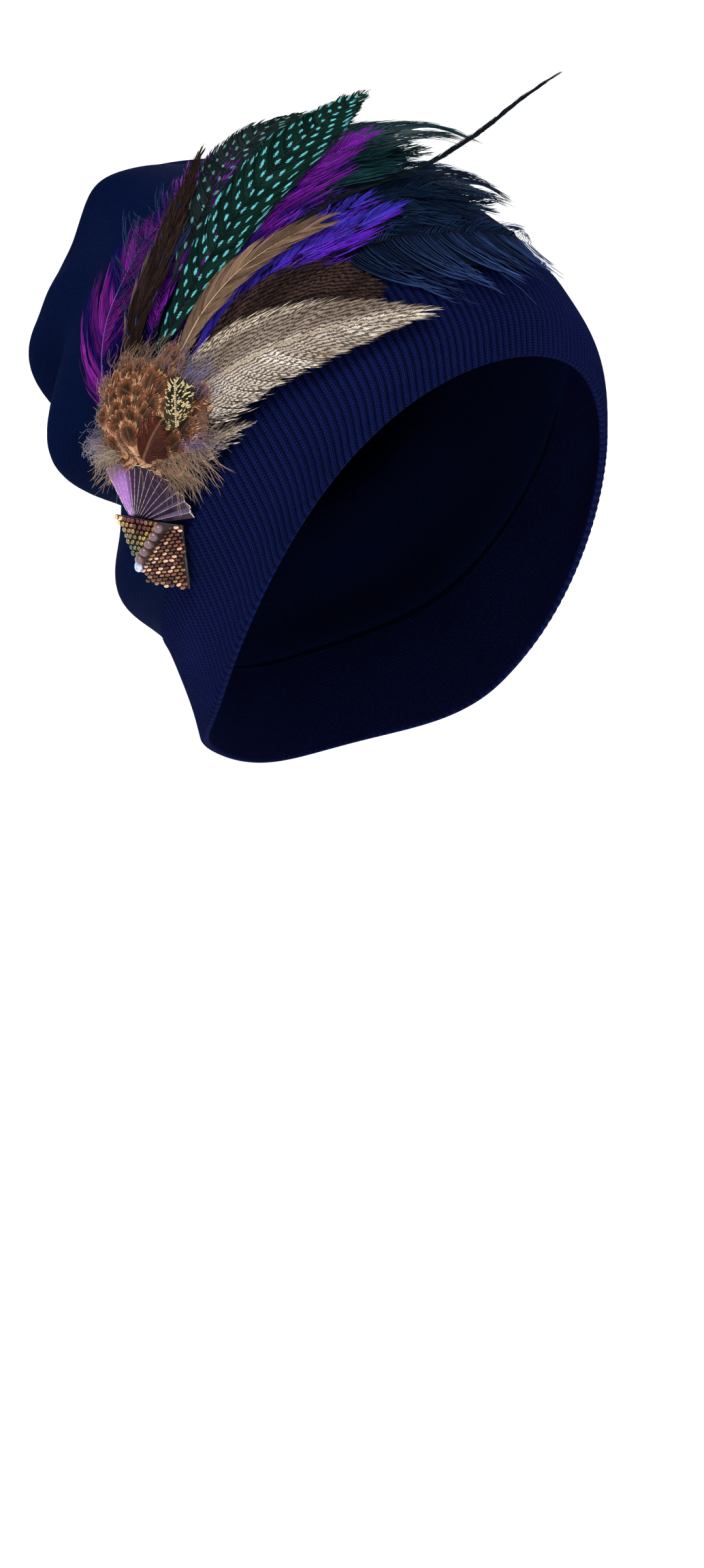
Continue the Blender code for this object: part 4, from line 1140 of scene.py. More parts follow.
def outline_reach(bearing):
    """Reach of the pad's outline at a bearing in degrees, with smooth steps between the rows."""
    rows = np.asarray(PAD_OUTLINE, float)
    bearing = np.asarray(bearing, float) % 360.0
    index = np.clip(np.searchsorted(rows[:, 0], bearing, side="right") - 1, 0, len(rows) - 2)
    part = smooth(bearing, rows[index, 0], rows[index + 1, 0])
    return PAD_REACH * (rows[index, 1] * (1 - part) + rows[index + 1, 1] * part)


def dome_height(x, y):
    """Height of the pad over its underside: dome times 1 - r^2.4, r being the share of the outline."""
    share = np.hypot(x, y) / outline_reach(np.degrees(np.arctan2(y, x)))
    return (PAD_DOME - FEATHER_BED) * (1 - np.clip(share, 0, 1) ** 2.4)


def on_pad(x, y, lift):
    """Point and outward direction at a place in the pad's plane, lift above its underside."""
    places = under_pad(x, y)
    outward = hat_normal(*places)
    return hat_surface(*places) + outward * (PAD_BASE + lift)[..., None], outward


def make_pad_dome():
    """Rows from the stem's foot out under the pad and back over the dome, with a pole at each end."""
    turn = np.linspace(0.0, 2 * np.pi, PAD_COLUMNS, endpoint=False)[None, ::-1]
    edge = outline_reach(np.degrees(turn)) * DOME_INSET
    shares = np.concatenate([UNDERSIDE, np.linspace(1.0, 0.05, DOME_ROWS)])[:, None]
    x, y = shares * edge * np.cos(turn), shares * edge * np.sin(turn)
    stem = np.minimum(1.0, STEM_RADIUS / np.hypot(x[:2], y[:2]))
    x[:2], y[:2] = x[:2] * stem, y[:2] * stem
    lift = np.where(np.arange(len(shares))[:, None] < len(UNDERSIDE), 0.0, 1.0) * dome_height(x, y)
    lift[0] = GAP - PAD_BASE
    grid, _ = on_pad(x, y, lift)
    middle = np.zeros(1)
    bottom, _ = on_pad(middle, middle, np.full(1, GAP - PAD_BASE))
    top, _ = on_pad(middle, middle, dome_height(middle + 1e-6, middle))
    felt = Finish("brown_felt", Roughness=0.95)
    cloud = felt.noise(felt.place(), 500.0, 4.0)
    felt.paint(felt.mix(cloud, dye(48, 28, 20), dye(112, 74, 52)))
    felt.relief(cloud, 0.6 * MM)
    return add_piece("pad_felt", np.vstack([grid.reshape(-1, 3), bottom, top]), poled_faces(*x.shape),
                     [felt.material], ["pheasant_pad"])


make_pad_dome()

# %% [markdown]
# A small feather is drawn in the pad's plane. Its barb rooted at share a along
# its shaft reaches width times sin(pi a^0.8)^0.6 out and a little ahead. Its
# map runs from 0 to 1 along and from -1 to 1 across, so one finish can give
# every one of them a dark heart, a copper ring, a tan edge and a pale shaft.

# %% Small feathers
SMALL_BARBS = 24                     # on each side of a small feather
SMALL_STEPS = 5
SMALL_CAMBER = 0.8 * MM              # how far the sides of a small feather curve down
TIP_LIFT = 1.1 * MM
TURN_SPREAD = 22                     # degrees by which the headings differ
BROOCH_SIDE = (268, 50)              # bearing of the brooch and the degrees to either side
SMALL_CENTRE = (4 * MM, -8 * MM)     # the small feathers point away from here
LOW_SHARE = 0.50                     # how much less they reach over the brooch
LOWEST_ROOT = -13 * MM               # a small feather rooted lower would lie over the fan
PAD_RINGS = (
    # share of the outline at the tips, feathers, length mm, width mm
    (1.05, 24, 17, 5.4),
    (0.90, 21, 16, 5.4),
    (0.75, 18, 15, 5.2),
    (0.60, 14, 14, 5.0),
    (0.44, 11, 13, 4.8),
    (0.28, 7, 12, 4.6),
    (0.10, 4, 10, 4.4),
)


def pad_places():
    """Tips, headings, lengths, widths and rings of the small feathers, a little uneven."""
    rows = []
    for ring, (share, count, length, width) in enumerate(PAD_RINGS):
        turn = (np.arange(count) + 0.5 * (ring % 2) + 0.25 * chance.normal(0, 1, count)) * 360.0 / count
        reach = outline_reach(turn) * share * (1 + 0.05 * chance.normal(0, 1, count))
        size = 1 + 0.14 * chance.normal(0, 1, count)
        near_brooch = np.abs(turn % 360 - BROOCH_SIDE[0]) < BROOCH_SIDE[1]
        reach = reach * np.where(near_brooch, LOW_SHARE, 1.0)
        x, y = reach * np.cos(np.radians(turn)), reach * np.sin(np.radians(turn))
        away = np.degrees(np.arctan2(y - SMALL_CENTRE[1], x - SMALL_CENTRE[0]))
        heading = away + TURN_SPREAD * chance.normal(0, 1, count)
        sizes = (length * MM * size, width * MM * size)
        rows.append(np.stack([x, y, heading, *sizes, 0 * turn + ring], 1))
    rows = np.concatenate(rows)
    root_y = rows[:, 1] - rows[:, 3] * np.sin(np.radians(rows[:, 2]))
    return rows[root_y > LOWEST_ROOT].T


def small_feathers(tip_x, tip_y, heading, length, width, lift):
    """Strands of many small feathers: arrays over feathers, barbs of both sides, and steps."""
    turn = np.radians(heading)[:, None, None]
    share = np.tile(np.linspace(0.04, 0.97, SMALL_BARBS), 2)[None, :, None]
    side = np.repeat([1.0, -1.0], SMALL_BARBS)[None, :, None]
    step = np.linspace(0.0, 1.0, SMALL_STEPS)[None, None, :]
    long, wide = length[:, None, None], width[:, None, None]
    jitter = 1 + 0.13 * chance.normal(0, 1, (len(tip_x), 2 * SMALL_BARBS, 1))
    reach = wide * np.sin(np.pi * share ** 0.8) ** 0.6 * jitter
    out = side * reach * (1 - (1 - step) ** 1.4)
    ahead = long * share * 0.86 + (reach * 0.8 + 0.10 * long * share ** 3) * step ** 1.2
    x = tip_x[:, None, None] + (ahead - long) * np.cos(turn) - out * np.sin(turn)
    y = tip_y[:, None, None] + (ahead - long) * np.sin(turn) + out * np.cos(turn)
    raised = lift[:, None, None] + TIP_LIFT * (ahead / long) ** 2 - SMALL_CAMBER * (out / wide) ** 2
    path, outward = on_pad(x, y, np.maximum(dome_height(x, y) + raised, -0.5 * MM))
    spacing = 1.3 * long / SMALL_BARBS * 0.62
    thread_width = np.broadcast_to(spacing * (1 - 0.5 * step ** 2), x.shape)
    places = np.stack([ahead / long + 0 * x, out / wide], -1)
    threads = len(tip_x) * 2 * SMALL_BARBS
    tone = np.repeat(chance.random(len(tip_x)), 2 * SMALL_BARBS) * 0.55 + 0.45 * chance.random(threads)
    shape = (threads, SMALL_STEPS)
    points, faces, thread, place = strands(path.reshape(*shape, 3), outward.reshape(*shape, 3),
                                           thread_width.reshape(shape), np.full(shape, BARB_THICKNESS))
    return points, faces, places.reshape(*shape, 2)[thread, place], tone[thread]


class Scale(Finish):
    """Finish of a small feather: rings of colour by the distance from its heart, and a pale shaft."""

    def __init__(self, name, heart, ring, edge, shaft, streak=0.25, at=0.60):
        super().__init__(name, Roughness=0.6, Sheen_Weight=0.05, Sheen_Roughness=0.4,
                         Specular_IOR_Level=0.03)
        along, out = self.map()
        tone = self.attribute("tone", "Fac")
        wobble = self.noise(self.place(), 600.0, 2.0)
        far = self.math("POWER", self.math("DIVIDE", self.math("SUBTRACT", along, at), 0.40), 2.0)
        wide = self.math("POWER", out, 2.0)
        radius = self.math("SQRT", self.math("ADD", far, wide))
        radius = self.times_plus(wobble, 0.30, radius)
        colour = self.mix(self.step(radius, 0.50, 0.90), heart, ring)
        colour = self.mix(self.step(radius, 0.95, 1.10), colour, edge)
        colour = self.mix(self.times(tone, 0.30), colour, ring)
        colour = self.mix(self.times(self.step(wobble, 0.45, 0.30), 0.6), colour, heart)
        near = self.step(self.math("ABSOLUTE", out), 0.10, 0.03)
        self.colour = self.mix(self.times(near, streak), colour, shaft)
        self.paint(self.colour)

    def dashes(self, by_along, by_out, colour):
        """Light dashes along the barbs: noise of a barb's root and the distance out, cut at a level."""
        along, out = self.map()
        root = self.times_plus(self.math("ABSOLUTE", out), -0.32, along)
        lay = self.node("ShaderNodeCombineXYZ", {0: self.times(root, by_along),
                                                 1: self.times(out, by_out)}).outputs[0]
        mask = self.step(self.noise(lay, 1.0, 1.0), 0.53, 0.58)
        self.paint(self.mix(mask, self.colour, colour))


def add_small(name, finish, *rows):
    points, faces, places, tone = small_feathers(*rows)
    return add_piece(name, points, faces, [finish.material], (), places, 0.0, tone)


copper = Scale("copper_scale", dye(42, 30, 20), dye(120, 72, 48), dye(220, 170, 128), dye(160, 114, 80))
tip_x, tip_y, heading, length, width, ring = pad_places()
small_lift = (0.4 + 0.50 * ring + 0.35 * chance.normal(0, 1, ring.size)) * MM
add_small("copper_feathers", copper, tip_x, tip_y, heading, length, width, small_lift)

# %% [markdown]
# Odd feathers lie on top of the pad: an oval chestnut one that is nearly black
# at its end, and a dark pair, one half over the other, with pale gold dashes
# that follow the barbs and a pale shaft.

# %% Chestnut and gold feathers
ODD_LIFT = 4.6 * MM
CHESTNUT_LIFT = 2.2 * MM             # how far it lies above the others
OVERLAP_STEP = 0.6 * MM
CHESTNUT = ((24,), (5,), (48,), (22,), (7.0,))         # tip x, tip y, heading, length, half width
GOLD = ((24, 31), (20, 18), (98, 62), (20, 21), (5.4, 6.0))
chestnut = Scale("chestnut_scale", dye(5, 2, 2), dye(76, 27, 14), dye(56, 18, 9), dye(140, 92, 62), 0.6,
                 at=1.0)
gold_marks = Scale("gold_scale", dye(20, 20, 12), dye(26, 26, 16), dye(60, 52, 32), dye(226, 208, 168),
                   0.8)
gold_marks.dashes(16.0, 3.0, dye(206, 186, 138))


def add_odd(name, finish, table, lift):
    """Small feathers from a table of tips, headings, lengths and half widths, one above the other."""
    tip_x, tip_y, heading, length, width = (np.array(row, float) for row in table)
    lifts = lift - OVERLAP_STEP * np.arange(tip_x.size)
    add_small(name, finish, tip_x * MM, tip_y * MM, heading, length * MM, width * MM, lifts)


add_odd("gold_feather", gold_marks, GOLD, ODD_LIFT)
add_odd("chestnut_feather", chestnut, CHESTNUT, ODD_LIFT + CHESTNUT_LIFT)

# %% [markdown]
# Down fills the rim of the pad and the gaps between the roots. A thread of
# down starts at a bearing on the outline, heads outwards and bends twice: its
# heading is the start plus curl times sin(2.2 pi s + phase), summed up step by
# step into a path. Each tuft has its own colour, kept on its points.

# %% Down
DOWN_STEPS = 12
STANDING = 11 * MM                   # how far the down at the back stands off the hat
STANDING_SIDE = (205, 20)            # its bearing and the degrees to either side
DOWN_WIDTH = 0.15 * MM
DOWN_THICKNESS = 0.14 * MM
DOWN_SINK = 4.0 * MM                 # how far it bends down past the pad's rim
TUFTS = (
    # bearing, spread deg, share of outline, threads, length mm, heading, colour
    (205, 14, 0.95, 170, 17, 212, (164, 132, 100)),
    (190, 12, 0.95, 90, 14, 192, (96, 98, 168)),
    (218, 10, 0.95, 90, 10, 206, (176, 150, 124)),
    (245, 14, 0.60, 60, 4, 246, (132, 102, 78)),
    (290, 14, 0.75, 70, 5, 290, (140, 108, 82)),
    (318, 12, 0.90, 80, 13, 292, (156, 112, 80)),
    (334, 10, 0.90, 90, 19, 286, (176, 140, 108)),
    (344, 8, 0.95, 80, 16, 300, (186, 152, 122)),
    (352, 10, 0.95, 80, 11, 330, (150, 104, 76)),
    (172, 14, 0.95, 80, 11, 168, (150, 122, 98)),
    (150, 14, 0.92, 50, 10, 140, (136, 100, 76)),
    (28, 8, 0.95, 70, 14, 56, (124, 120, 182)),
    (52, 14, 0.95, 50, 12, 60, (150, 112, 86)),
    (78, 14, 0.95, 45, 11, 76, (136, 98, 74)),
    (105, 16, 0.95, 45, 10, 104, (124, 88, 66)),
    (346, 3, 1.02, 50, 10, 10, (92, 50, 190)),
)


def make_down():
    step = np.linspace(0.0, 1.0, DOWN_STEPS)[None, :]
    paths, directions, colours, tones = [], [], [], []
    for bearing, spread, share, count, length, heading, colour in TUFTS:
        turn = bearing + spread * chance.normal(0, 1, count)
        reach = outline_reach(turn) * share * chance.uniform(0.75, 1.0, count)
        start = np.stack([reach * np.cos(np.radians(turn)), reach * np.sin(np.radians(turn))], -1)
        amount = chance.normal(0, 38, (count, 1))
        curl = amount * np.sin(2.2 * step * np.pi + chance.uniform(0, 6.3, (count, 1)))
        lean = 16 * chance.normal(0, 1, (count, 1))
        way = np.radians(heading + (turn - bearing)[:, None] + lean + curl)
        pace = length * MM * chance.uniform(0.5, 1.15, (count, 1)) / (DOWN_STEPS - 1)
        x = start[:, :1] + np.cumsum(pace * np.cos(way), 1)
        y = start[:, 1:] + np.cumsum(pace * np.sin(way), 1)
        standing = np.abs(bearing - STANDING_SIDE[0]) < STANDING_SIDE[1]
        stand = STANDING * standing * chance.random((count, 1)) * step
        bow = (0.5 + 3.6 * chance.random((count, 1)) * np.sin(np.pi * step ** 0.7)) * MM
        rise = dome_height(x, y) + stand + bow
        past = np.hypot(x, y) / outline_reach(np.degrees(np.arctan2(y, x))) - 1
        path, outward = on_pad(x, y, rise - np.clip(past, 0, 0.5) / 0.5 * DOWN_SINK)
        paths.append(path)
        directions.append(outward)
        colours.append(np.array(dye(*colour)[:3]) * chance.uniform(0.35, 1.45, (count, 1)))
        tones.append(chance.random(count))
    path, outward = np.concatenate(paths), np.concatenate(directions)
    width = np.broadcast_to(DOWN_WIDTH * (1 - 0.55 * step), path.shape[:2])
    points, faces, thread, _ = strands(path, outward, width, DOWN_THICKNESS + 0 * width)
    down = Finish("down", Roughness=0.7, Sheen_Weight=0.3, Sheen_Roughness=0.5)
    fleck = down.noise(down.place(), 420.0, 2.0)
    dyed = down.attribute("dye", "Color")
    down.paint(down.mix(down.times(fleck, 0.7), dyed, dye(60, 42, 32)))
    return add_piece("down_tufts", points, faces, [down.material], (),
                     tone=np.concatenate(tones)[thread], colour=np.concatenate(colours)[thread])


make_down()

# %% [markdown]
# The brooch is drawn flat, x along its upper edge towards the front and y up,
# and then bent round the hat: a point at x sinks by x^2 / (2 bend). Its frame
# stands off the hat just far enough that neither plate touches the ribs.

# %% Frame of the brooch
BROOCH_PLACE = (106.5, 0.252)
BROOCH_AHEAD, BROOCH_DOWN, BROOCH_ROLL = 8.0, 6.0, -7.0
BROOCH_BEND = 0.110
FAN_START, FAN_END = 12.0, 135.0
FAN_REACH_ACROSS = 0.031
FAN_REACH_UP = 0.0238
FAN_PLEATS = 14
PLEAT_HEIGHT = 0.0014
PLEAT_AT_HINGE = 0.3
FAN_THICKNESS = 0.0006
HINGE_DROP = 0.0033
SHIELD_WIDTH = 0.037
SHIELD_FOOT_WIDTH = 0.019
SHIELD_HEIGHT = 0.025
SHIELD_BEHIND = 0.012
SHIELD_SLANT = 0.021
SHIELD_THICKNESS = 0.002
PEARL_RADIUS = 0.0019
PEARL_COUNT = 5
FIRST_PEARL = 0.77
STONE_SLANT = (-0.60, -0.80)
STONE_RADIUS = 0.0021
STONE_HEIGHT = 0.0014


def fan_plan(spread, out):
    """Point of the fan at a share of its spread and a share from its inner edge out to its ellipse."""
    turn = np.radians(FAN_END + (FAN_START - FAN_END) * np.asarray(spread))
    inner = (HINGE_DROP + GAP) / np.sin(turn)
    outer = 1.0 / np.hypot(np.cos(turn) / FAN_REACH_ACROSS, np.sin(turn) / FAN_REACH_UP)
    reach = inner + (outer - inner) * out
    return reach * np.cos(turn), reach * np.sin(turn)


def shield_plan(across, down):
    """Point of the shield at a share across and a share down: it narrows and slants forward."""
    width = SHIELD_WIDTH + (SHIELD_FOOT_WIDTH - SHIELD_WIDTH) * down
    return SHIELD_SLANT * down - SHIELD_BEHIND + width * across, HINGE_DROP - SHIELD_HEIGHT * down


def brooch_frame():
    """Middle and directions across, up and out, with the middle lifted clear of the band."""
    turn, down, roll = (np.radians(v) for v in (BROOCH_AHEAD, BROOCH_DOWN, BROOCH_ROLL))
    out = np.array((-np.cos(turn) * np.cos(down), -np.sin(turn) * np.cos(down), -np.sin(down)))
    level = unit(np.cross((0.0, 0.0, 1.0), out))
    across = np.cos(roll) * level + np.sin(roll) * np.cross(out, level)
    up = np.cross(out, across)
    middle = hat_surface(*BROOCH_PLACE)
    first, second = np.linspace(0, 1, 9)[None, :], np.linspace(0, 1, 5)[:, None]
    seat = 0.0
    for x, y in (fan_plan(first, second), shield_plan(first, second)):
        x, y = np.broadcast_arrays(x, y)
        target = middle + x[..., None] * across + y[..., None] * up
        places = find_on_hat(*BROOCH_PLACE, target, across, up)
        height = ((above_hat(*places, RIB_HEIGHT) - middle) * out).sum(-1)
        seat = max(seat, float((height + x ** 2 / (2 * BROOCH_BEND)).max()))
    return middle + out * (seat + GAP), across, up, out


BROOCH = brooch_frame()
print("brooch stands at", np.round(BROOCH[0] / MM, 1), "mm")


def on_brooch(x, y, z):
    """World point for the brooch's own x, y and z."""
    middle, across, up, out = BROOCH
    x, y, z = (v[..., None] for v in np.broadcast_arrays(x, y, z))
    return middle + x * across + y * up + (z - x ** 2 / (2 * BROOCH_BEND)) * out


# %% [markdown]
# The fan is a strip of sheer film, folded to and fro. Height goes up and down
# along the spread as a triangle wave that grows outwards. Thin silver ribs run
# along the raised folds, and a silver edge binds the rim; both carry painted
# glints. The film's colour turns from bright lilac at the back through plum to
# smoke at the front: the film's own purple with painted reflection, brightest
# at the back. One face of each pleat is painted darker as painted shade, and
# noise lays a painted violet sheen over the film.

# %% Pleated fan
FOLD_POINTS = 4
FAN_ROWS = 24
FILM_WALL = 0.25 * MM
RIB_RADIUS = 0.07 * MM
RIM_RADIUS = 0.20 * MM


def fold_height(spread, out):
    """Triangle wave of the pleats, FAN_PLEATS of them, deeper towards the rim."""
    wave = 1 - np.abs((spread * FAN_PLEATS) % 1.0 * 2 - 1)
    return wave * PLEAT_HEIGHT * (PLEAT_AT_HINGE + (1 - PLEAT_AT_HINGE) * out)


def make_fan():
    """The film: a grid of spread and out, its folds in the height, with a thin wall from Solidify."""
    spread = np.linspace(0, 1, 2 * FAN_PLEATS * FOLD_POINTS + 1)[None, :]
    out = np.linspace(0, 1, FAN_ROWS)[:, None]
    x, y = fan_plan(spread, out)
    height = fold_height(spread, out)
    grid = on_brooch(x, y, height + FAN_THICKNESS * 0.3)
    film = Finish("pleated_film", Roughness=0.24, Metallic=0.15, Coat_Weight=0.05,
                  Specular_IOR_Level=0.15)
    along, _ = film.map()
    # Painted reflection over the film's purple: bright lilac at the back, plum, then smoke at the front.
    lilac = film.mix(film.step(along, 0.18, 0.36), dye(214, 150, 240), dye(60, 18, 62))
    smoke = film.mix(film.step(along, 0.66, 0.98), lilac, dye(78, 68, 88))
    # painted sheen: noise mixes in violet
    sheen = film.times(film.noise(film.place(), 160.0, 1.0), 0.3)
    violet = film.mix(sheen, smoke, dye(84, 54, 124))
    # Painted shade: one face of each pleat is darker, less so towards the back.
    side = film.math("FRACT", film.times(along, float(FAN_PLEATS)))
    depth = film.times_plus(film.step(along, 0.15, 0.45), 0.45, 0.45)
    shaded = film.times(film.step(side, 0.46, 0.56), depth)
    film.paint(film.mix(shaded, violet, dye(30, 12, 32)))
    places = np.stack(np.broadcast_arrays(spread, out), -1)
    fan = add_piece("fan_film", grid, [grid_faces(*x.shape)], [film.material],
                    ["pleated_fan"], places, smooth=False)
    wall = fan.modifiers.new("wall", "SOLIDIFY")
    wall.thickness = FILM_WALL
    wall.offset = 1.0
    wall.use_even_offset = False
    return fan


def make_silver():
    """Ribs along the raised folds and the bound rim, as round rods."""
    silver = Finish("silver_edge", Roughness=0.22, Metallic=1.0)
    # Painted glints: noise breaks the silver into near-white glints on lilac grey.
    glints = silver.noise(silver.place(), 900.0, 2.0)
    silver.paint(silver.mix(silver.step(glints, 0.38, 0.62), dye(176, 150, 186), dye(250, 240, 232)))
    crest = (np.arange(FAN_PLEATS) + 0.5) / FAN_PLEATS
    out = np.linspace(0.0, 1.0, 12)[None, :]
    x, y = fan_plan(crest[:, None], out)
    ribs = on_brooch(x, y, fold_height(crest[:, None], out) + FAN_THICKNESS)
    spread = np.linspace(0, 1, 2 * FAN_PLEATS * FOLD_POINTS + 1)[None, :]
    rim_x, rim_y = fan_plan(spread, 1.0)
    rim = on_brooch(rim_x, rim_y, fold_height(spread, 1.0) + FAN_THICKNESS * 0.8)
    points, faces, _ = join([rods(ribs, RIB_RADIUS + 0 * x, sides=6),
                             rods(rim, RIM_RADIUS + 0 * rim_x, sides=6)])
    return add_piece("fan_silver", points, faces, [silver.material])


make_fan()
make_silver()

# %% [markdown]
# The shield is cloth, sewn over with beads. On its front part oval copper beads
# lie in staggered rows; some are painted pale peach as painted highlights and
# some nearly black as painted shade. The back corner holds larger ones: garnet
# at the top, then citrine and olive, with small green ones along the edge. A
# bead is an ellipsoid of under a hundred faces, and all of them are one mesh
# from arrays.

# %% Cloth of the shield
def make_shield_cloth():
    """A flat grid and a pillowed one over it, joined by a wall along the rim."""
    across, down = np.meshgrid(np.linspace(0, 1, 25), np.linspace(0, 1, 17))
    x, y = shield_plan(0.015 + 0.96 * across, 0.02 + 0.96 * down)
    pillow = np.clip(16 * across * (1 - across) * down * (1 - down), 0, 1) ** 0.5
    top = on_brooch(x, y, 0.5 * MM + 0.5 * MM * pillow)
    bottom = on_brooch(x, y, 0.0 * x)
    rows, columns = x.shape
    rim = np.concatenate([np.arange(columns), np.arange(1, rows) * columns + columns - 1,
                          (rows - 1) * columns + np.arange(columns - 2, -1, -1),
                          np.arange(rows - 2, 0, -1) * columns])
    beside = np.roll(rim, -1)
    count = x.size
    walls = np.stack([rim, beside, beside + count, rim + count], 1)
    faces = [grid_faces(rows, columns), grid_faces(rows, columns)[:, ::-1] + count, walls[:, ::-1]]
    cloth = Finish("shield_cloth", Roughness=0.8, Sheen_Weight=0.2)
    weave = cloth.noise(cloth.place(), 2600.0, 2.0)
    cloth.paint(cloth.mix(weave, dye(14, 6, 5), dye(46, 22, 14)))
    cloth.relief(weave, 0.2 * MM)
    return add_piece("shield_cloth", np.concatenate([top.reshape(-1, 3), bottom.reshape(-1, 3)]), faces,
                     [cloth.material], ["shield"])


make_shield_cloth()


# %% Ellipsoids
def ellipsoids(x, y, z, half_long, half_wide, half_high, turn, segments=12, rings=7):
    """Many ellipsoids on the brooch: a sphere's grid stretched three ways and turned in its plane."""
    polar = np.linspace(0, np.pi, rings + 2)[1:-1][:, None]
    around = np.linspace(0, 2 * np.pi, segments, endpoint=False)[None, :]
    ball = np.stack([np.sin(polar) * np.cos(around), np.sin(polar) * np.sin(around),
                     np.cos(polar) + 0 * around], -1).reshape(-1, 3)
    ball = np.vstack([ball, (0, 0, 1), (0, 0, -1)])[None]
    ox, oy, oz = (ball[..., k] * np.asarray(half)[:, None] for k, half in
                  enumerate((half_long, half_wide, half_high)))
    cosine, sine = np.cos(turn)[:, None], np.sin(turn)[:, None]
    points = on_brooch(x[:, None] + ox * cosine - oy * sine, y[:, None] + ox * sine + oy * cosine,
                       z[:, None] + oz)
    first = (np.arange(len(x)) * ball.shape[1])[:, None, None]
    one = poled_faces(rings, segments)
    faces = [(first + group[None]).reshape(-1, group.shape[1]) for group in one]
    return points.reshape(-1, 3), faces, np.repeat(np.arange(len(x)), ball.shape[1])


print("faces of a bead:", sum(len(group) for group in poled_faces(7, 12)))


# %% Beads
ROW_PITCH = 1.36 * MM
BEAD_PITCH = 3.05 * MM
CHIP_PITCH = 2.5 * MM
BEAD_ROLL = 0.20
BEAD_SIZE = (1.32 * MM, 0.72 * MM, 0.75 * MM)
CHIP_SIZE = (1.18 * MM, 1.0 * MM, 1.0 * MM)
BEADS_FROM_PEARLS = 2.2 * MM
CHIPS_FROM_PEARLS = 2.6 * MM
# Copper beads' own colours, with a pale peach one as painted highlight and a near-black one as painted
# shade.
COPPER_COLOURS_AND_PAINTED_LIGHT = ((112, 54, 38), (222, 172, 146), (62, 22, 14), (140, 100, 66))
CORNER_COLOURS = (
    # share across, share down, colour
    (0.05, 0.03, (226, 190, 130)), (0.25, 0.05, (96, 26, 18)), (0.42, 0.12, (84, 20, 14)),
    (0.16, 0.14, (150, 118, 76)), (0.34, 0.20, (84, 24, 16)), (0.58, 0.06, (120, 82, 40)),
    (0.50, 0.22, (184, 152, 60)), (0.12, 0.34, (116, 104, 70)), (0.32, 0.36, (158, 136, 74)),
    (0.10, 0.55, (104, 104, 78)), (0.25, 0.56, (140, 126, 84)), (0.02, 0.50, (64, 86, 66)),
    (0.10, 0.78, (100, 96, 66)), (0.02, 0.95, (84, 84, 62)),
)


def stone_line():
    """Places of the pearls and, last, of the cut stone."""
    pitch = 2 * PEARL_RADIUS + GAP
    top = np.array([FIRST_PEARL * SHIELD_WIDTH - SHIELD_BEHIND, HINGE_DROP - PEARL_RADIUS - GAP])
    return top + np.arange(PEARL_COUNT + 1)[:, None] * pitch * np.array(STONE_SLANT)


def ahead_of_line(x, y):
    """Distance of a point in front of the line of pearls."""
    top = stone_line()[0]
    slant = np.array(STONE_SLANT)
    return (x - top[0]) * -slant[1] + (y - top[1]) * slant[0]


def inside_shield(x, y, margin):
    down = (HINGE_DROP - y) / SHIELD_HEIGHT
    rear, _ = shield_plan(0.0, down)
    front, _ = shield_plan(1.0, down)
    return (x > rear + margin) & (x < front - margin) & (down * SHIELD_HEIGHT > margin) & (
        (1 - down) * SHIELD_HEIGHT > margin)


def copper_beads():
    """Rows of ovals in front of the pearls: rows climb a little, every second one shifted by half."""
    row, column = np.meshgrid(np.arange(-4, 26), np.arange(-6, 16), indexing="ij")
    along = (column + 0.5 * (row % 2)) * BEAD_PITCH
    down = row * ROW_PITCH
    x = -SHIELD_BEHIND + along * np.cos(BEAD_ROLL) + down * np.sin(BEAD_ROLL)
    y = HINGE_DROP + along * np.sin(BEAD_ROLL) - down * np.cos(BEAD_ROLL)
    x, y = x.ravel(), y.ravel()
    keep = inside_shield(x, y, 0.35 * MM) & (ahead_of_line(x, y) > BEADS_FROM_PEARLS)
    x, y = x[keep], y[keep]
    count = len(x)
    base = np.array([dye(*colour)[:3] for colour in COPPER_COLOURS_AND_PAINTED_LIGHT])
    colour = base[chance.integers(0, len(base), count)] * chance.uniform(0.8, 1.15, (count, 1))
    return x, y, BEAD_SIZE, BEAD_ROLL + 0.12 * chance.normal(0, 1, count), colour


def corner_beads():
    """Rounder beads behind the pearls, coloured by the nearest row of CORNER_COLOURS."""
    row, column = np.meshgrid(np.arange(-1, 14), np.arange(-2, 18), indexing="ij")
    x = (-SHIELD_BEHIND + (column + 0.5 * (row % 2)) * CHIP_PITCH).ravel()
    y = (HINGE_DROP - 1.1 * MM - row * CHIP_PITCH * 0.84).ravel()
    keep = inside_shield(x, y, 0.8 * MM) & (ahead_of_line(x, y) < -CHIPS_FROM_PEARLS)
    x, y = x[keep], y[keep]
    count = len(x)
    x = x + 0.18 * MM * chance.normal(0, 1, count)
    down = (HINGE_DROP - y) / SHIELD_HEIGHT
    across = (x - shield_plan(0.0, down)[0]) / SHIELD_WIDTH
    table = np.array([row[:2] for row in CORNER_COLOURS])
    near = ((across[:, None] - table[:, 0]) ** 2 + (down[:, None] - table[:, 1]) ** 2).argmin(1)
    colours = np.array([dye(*row[2])[:3] for row in CORNER_COLOURS])
    turn = chance.uniform(0, 3.1, count)
    return x, y, CHIP_SIZE, turn, colours[near] * chance.uniform(0.75, 1.2, (count, 1))


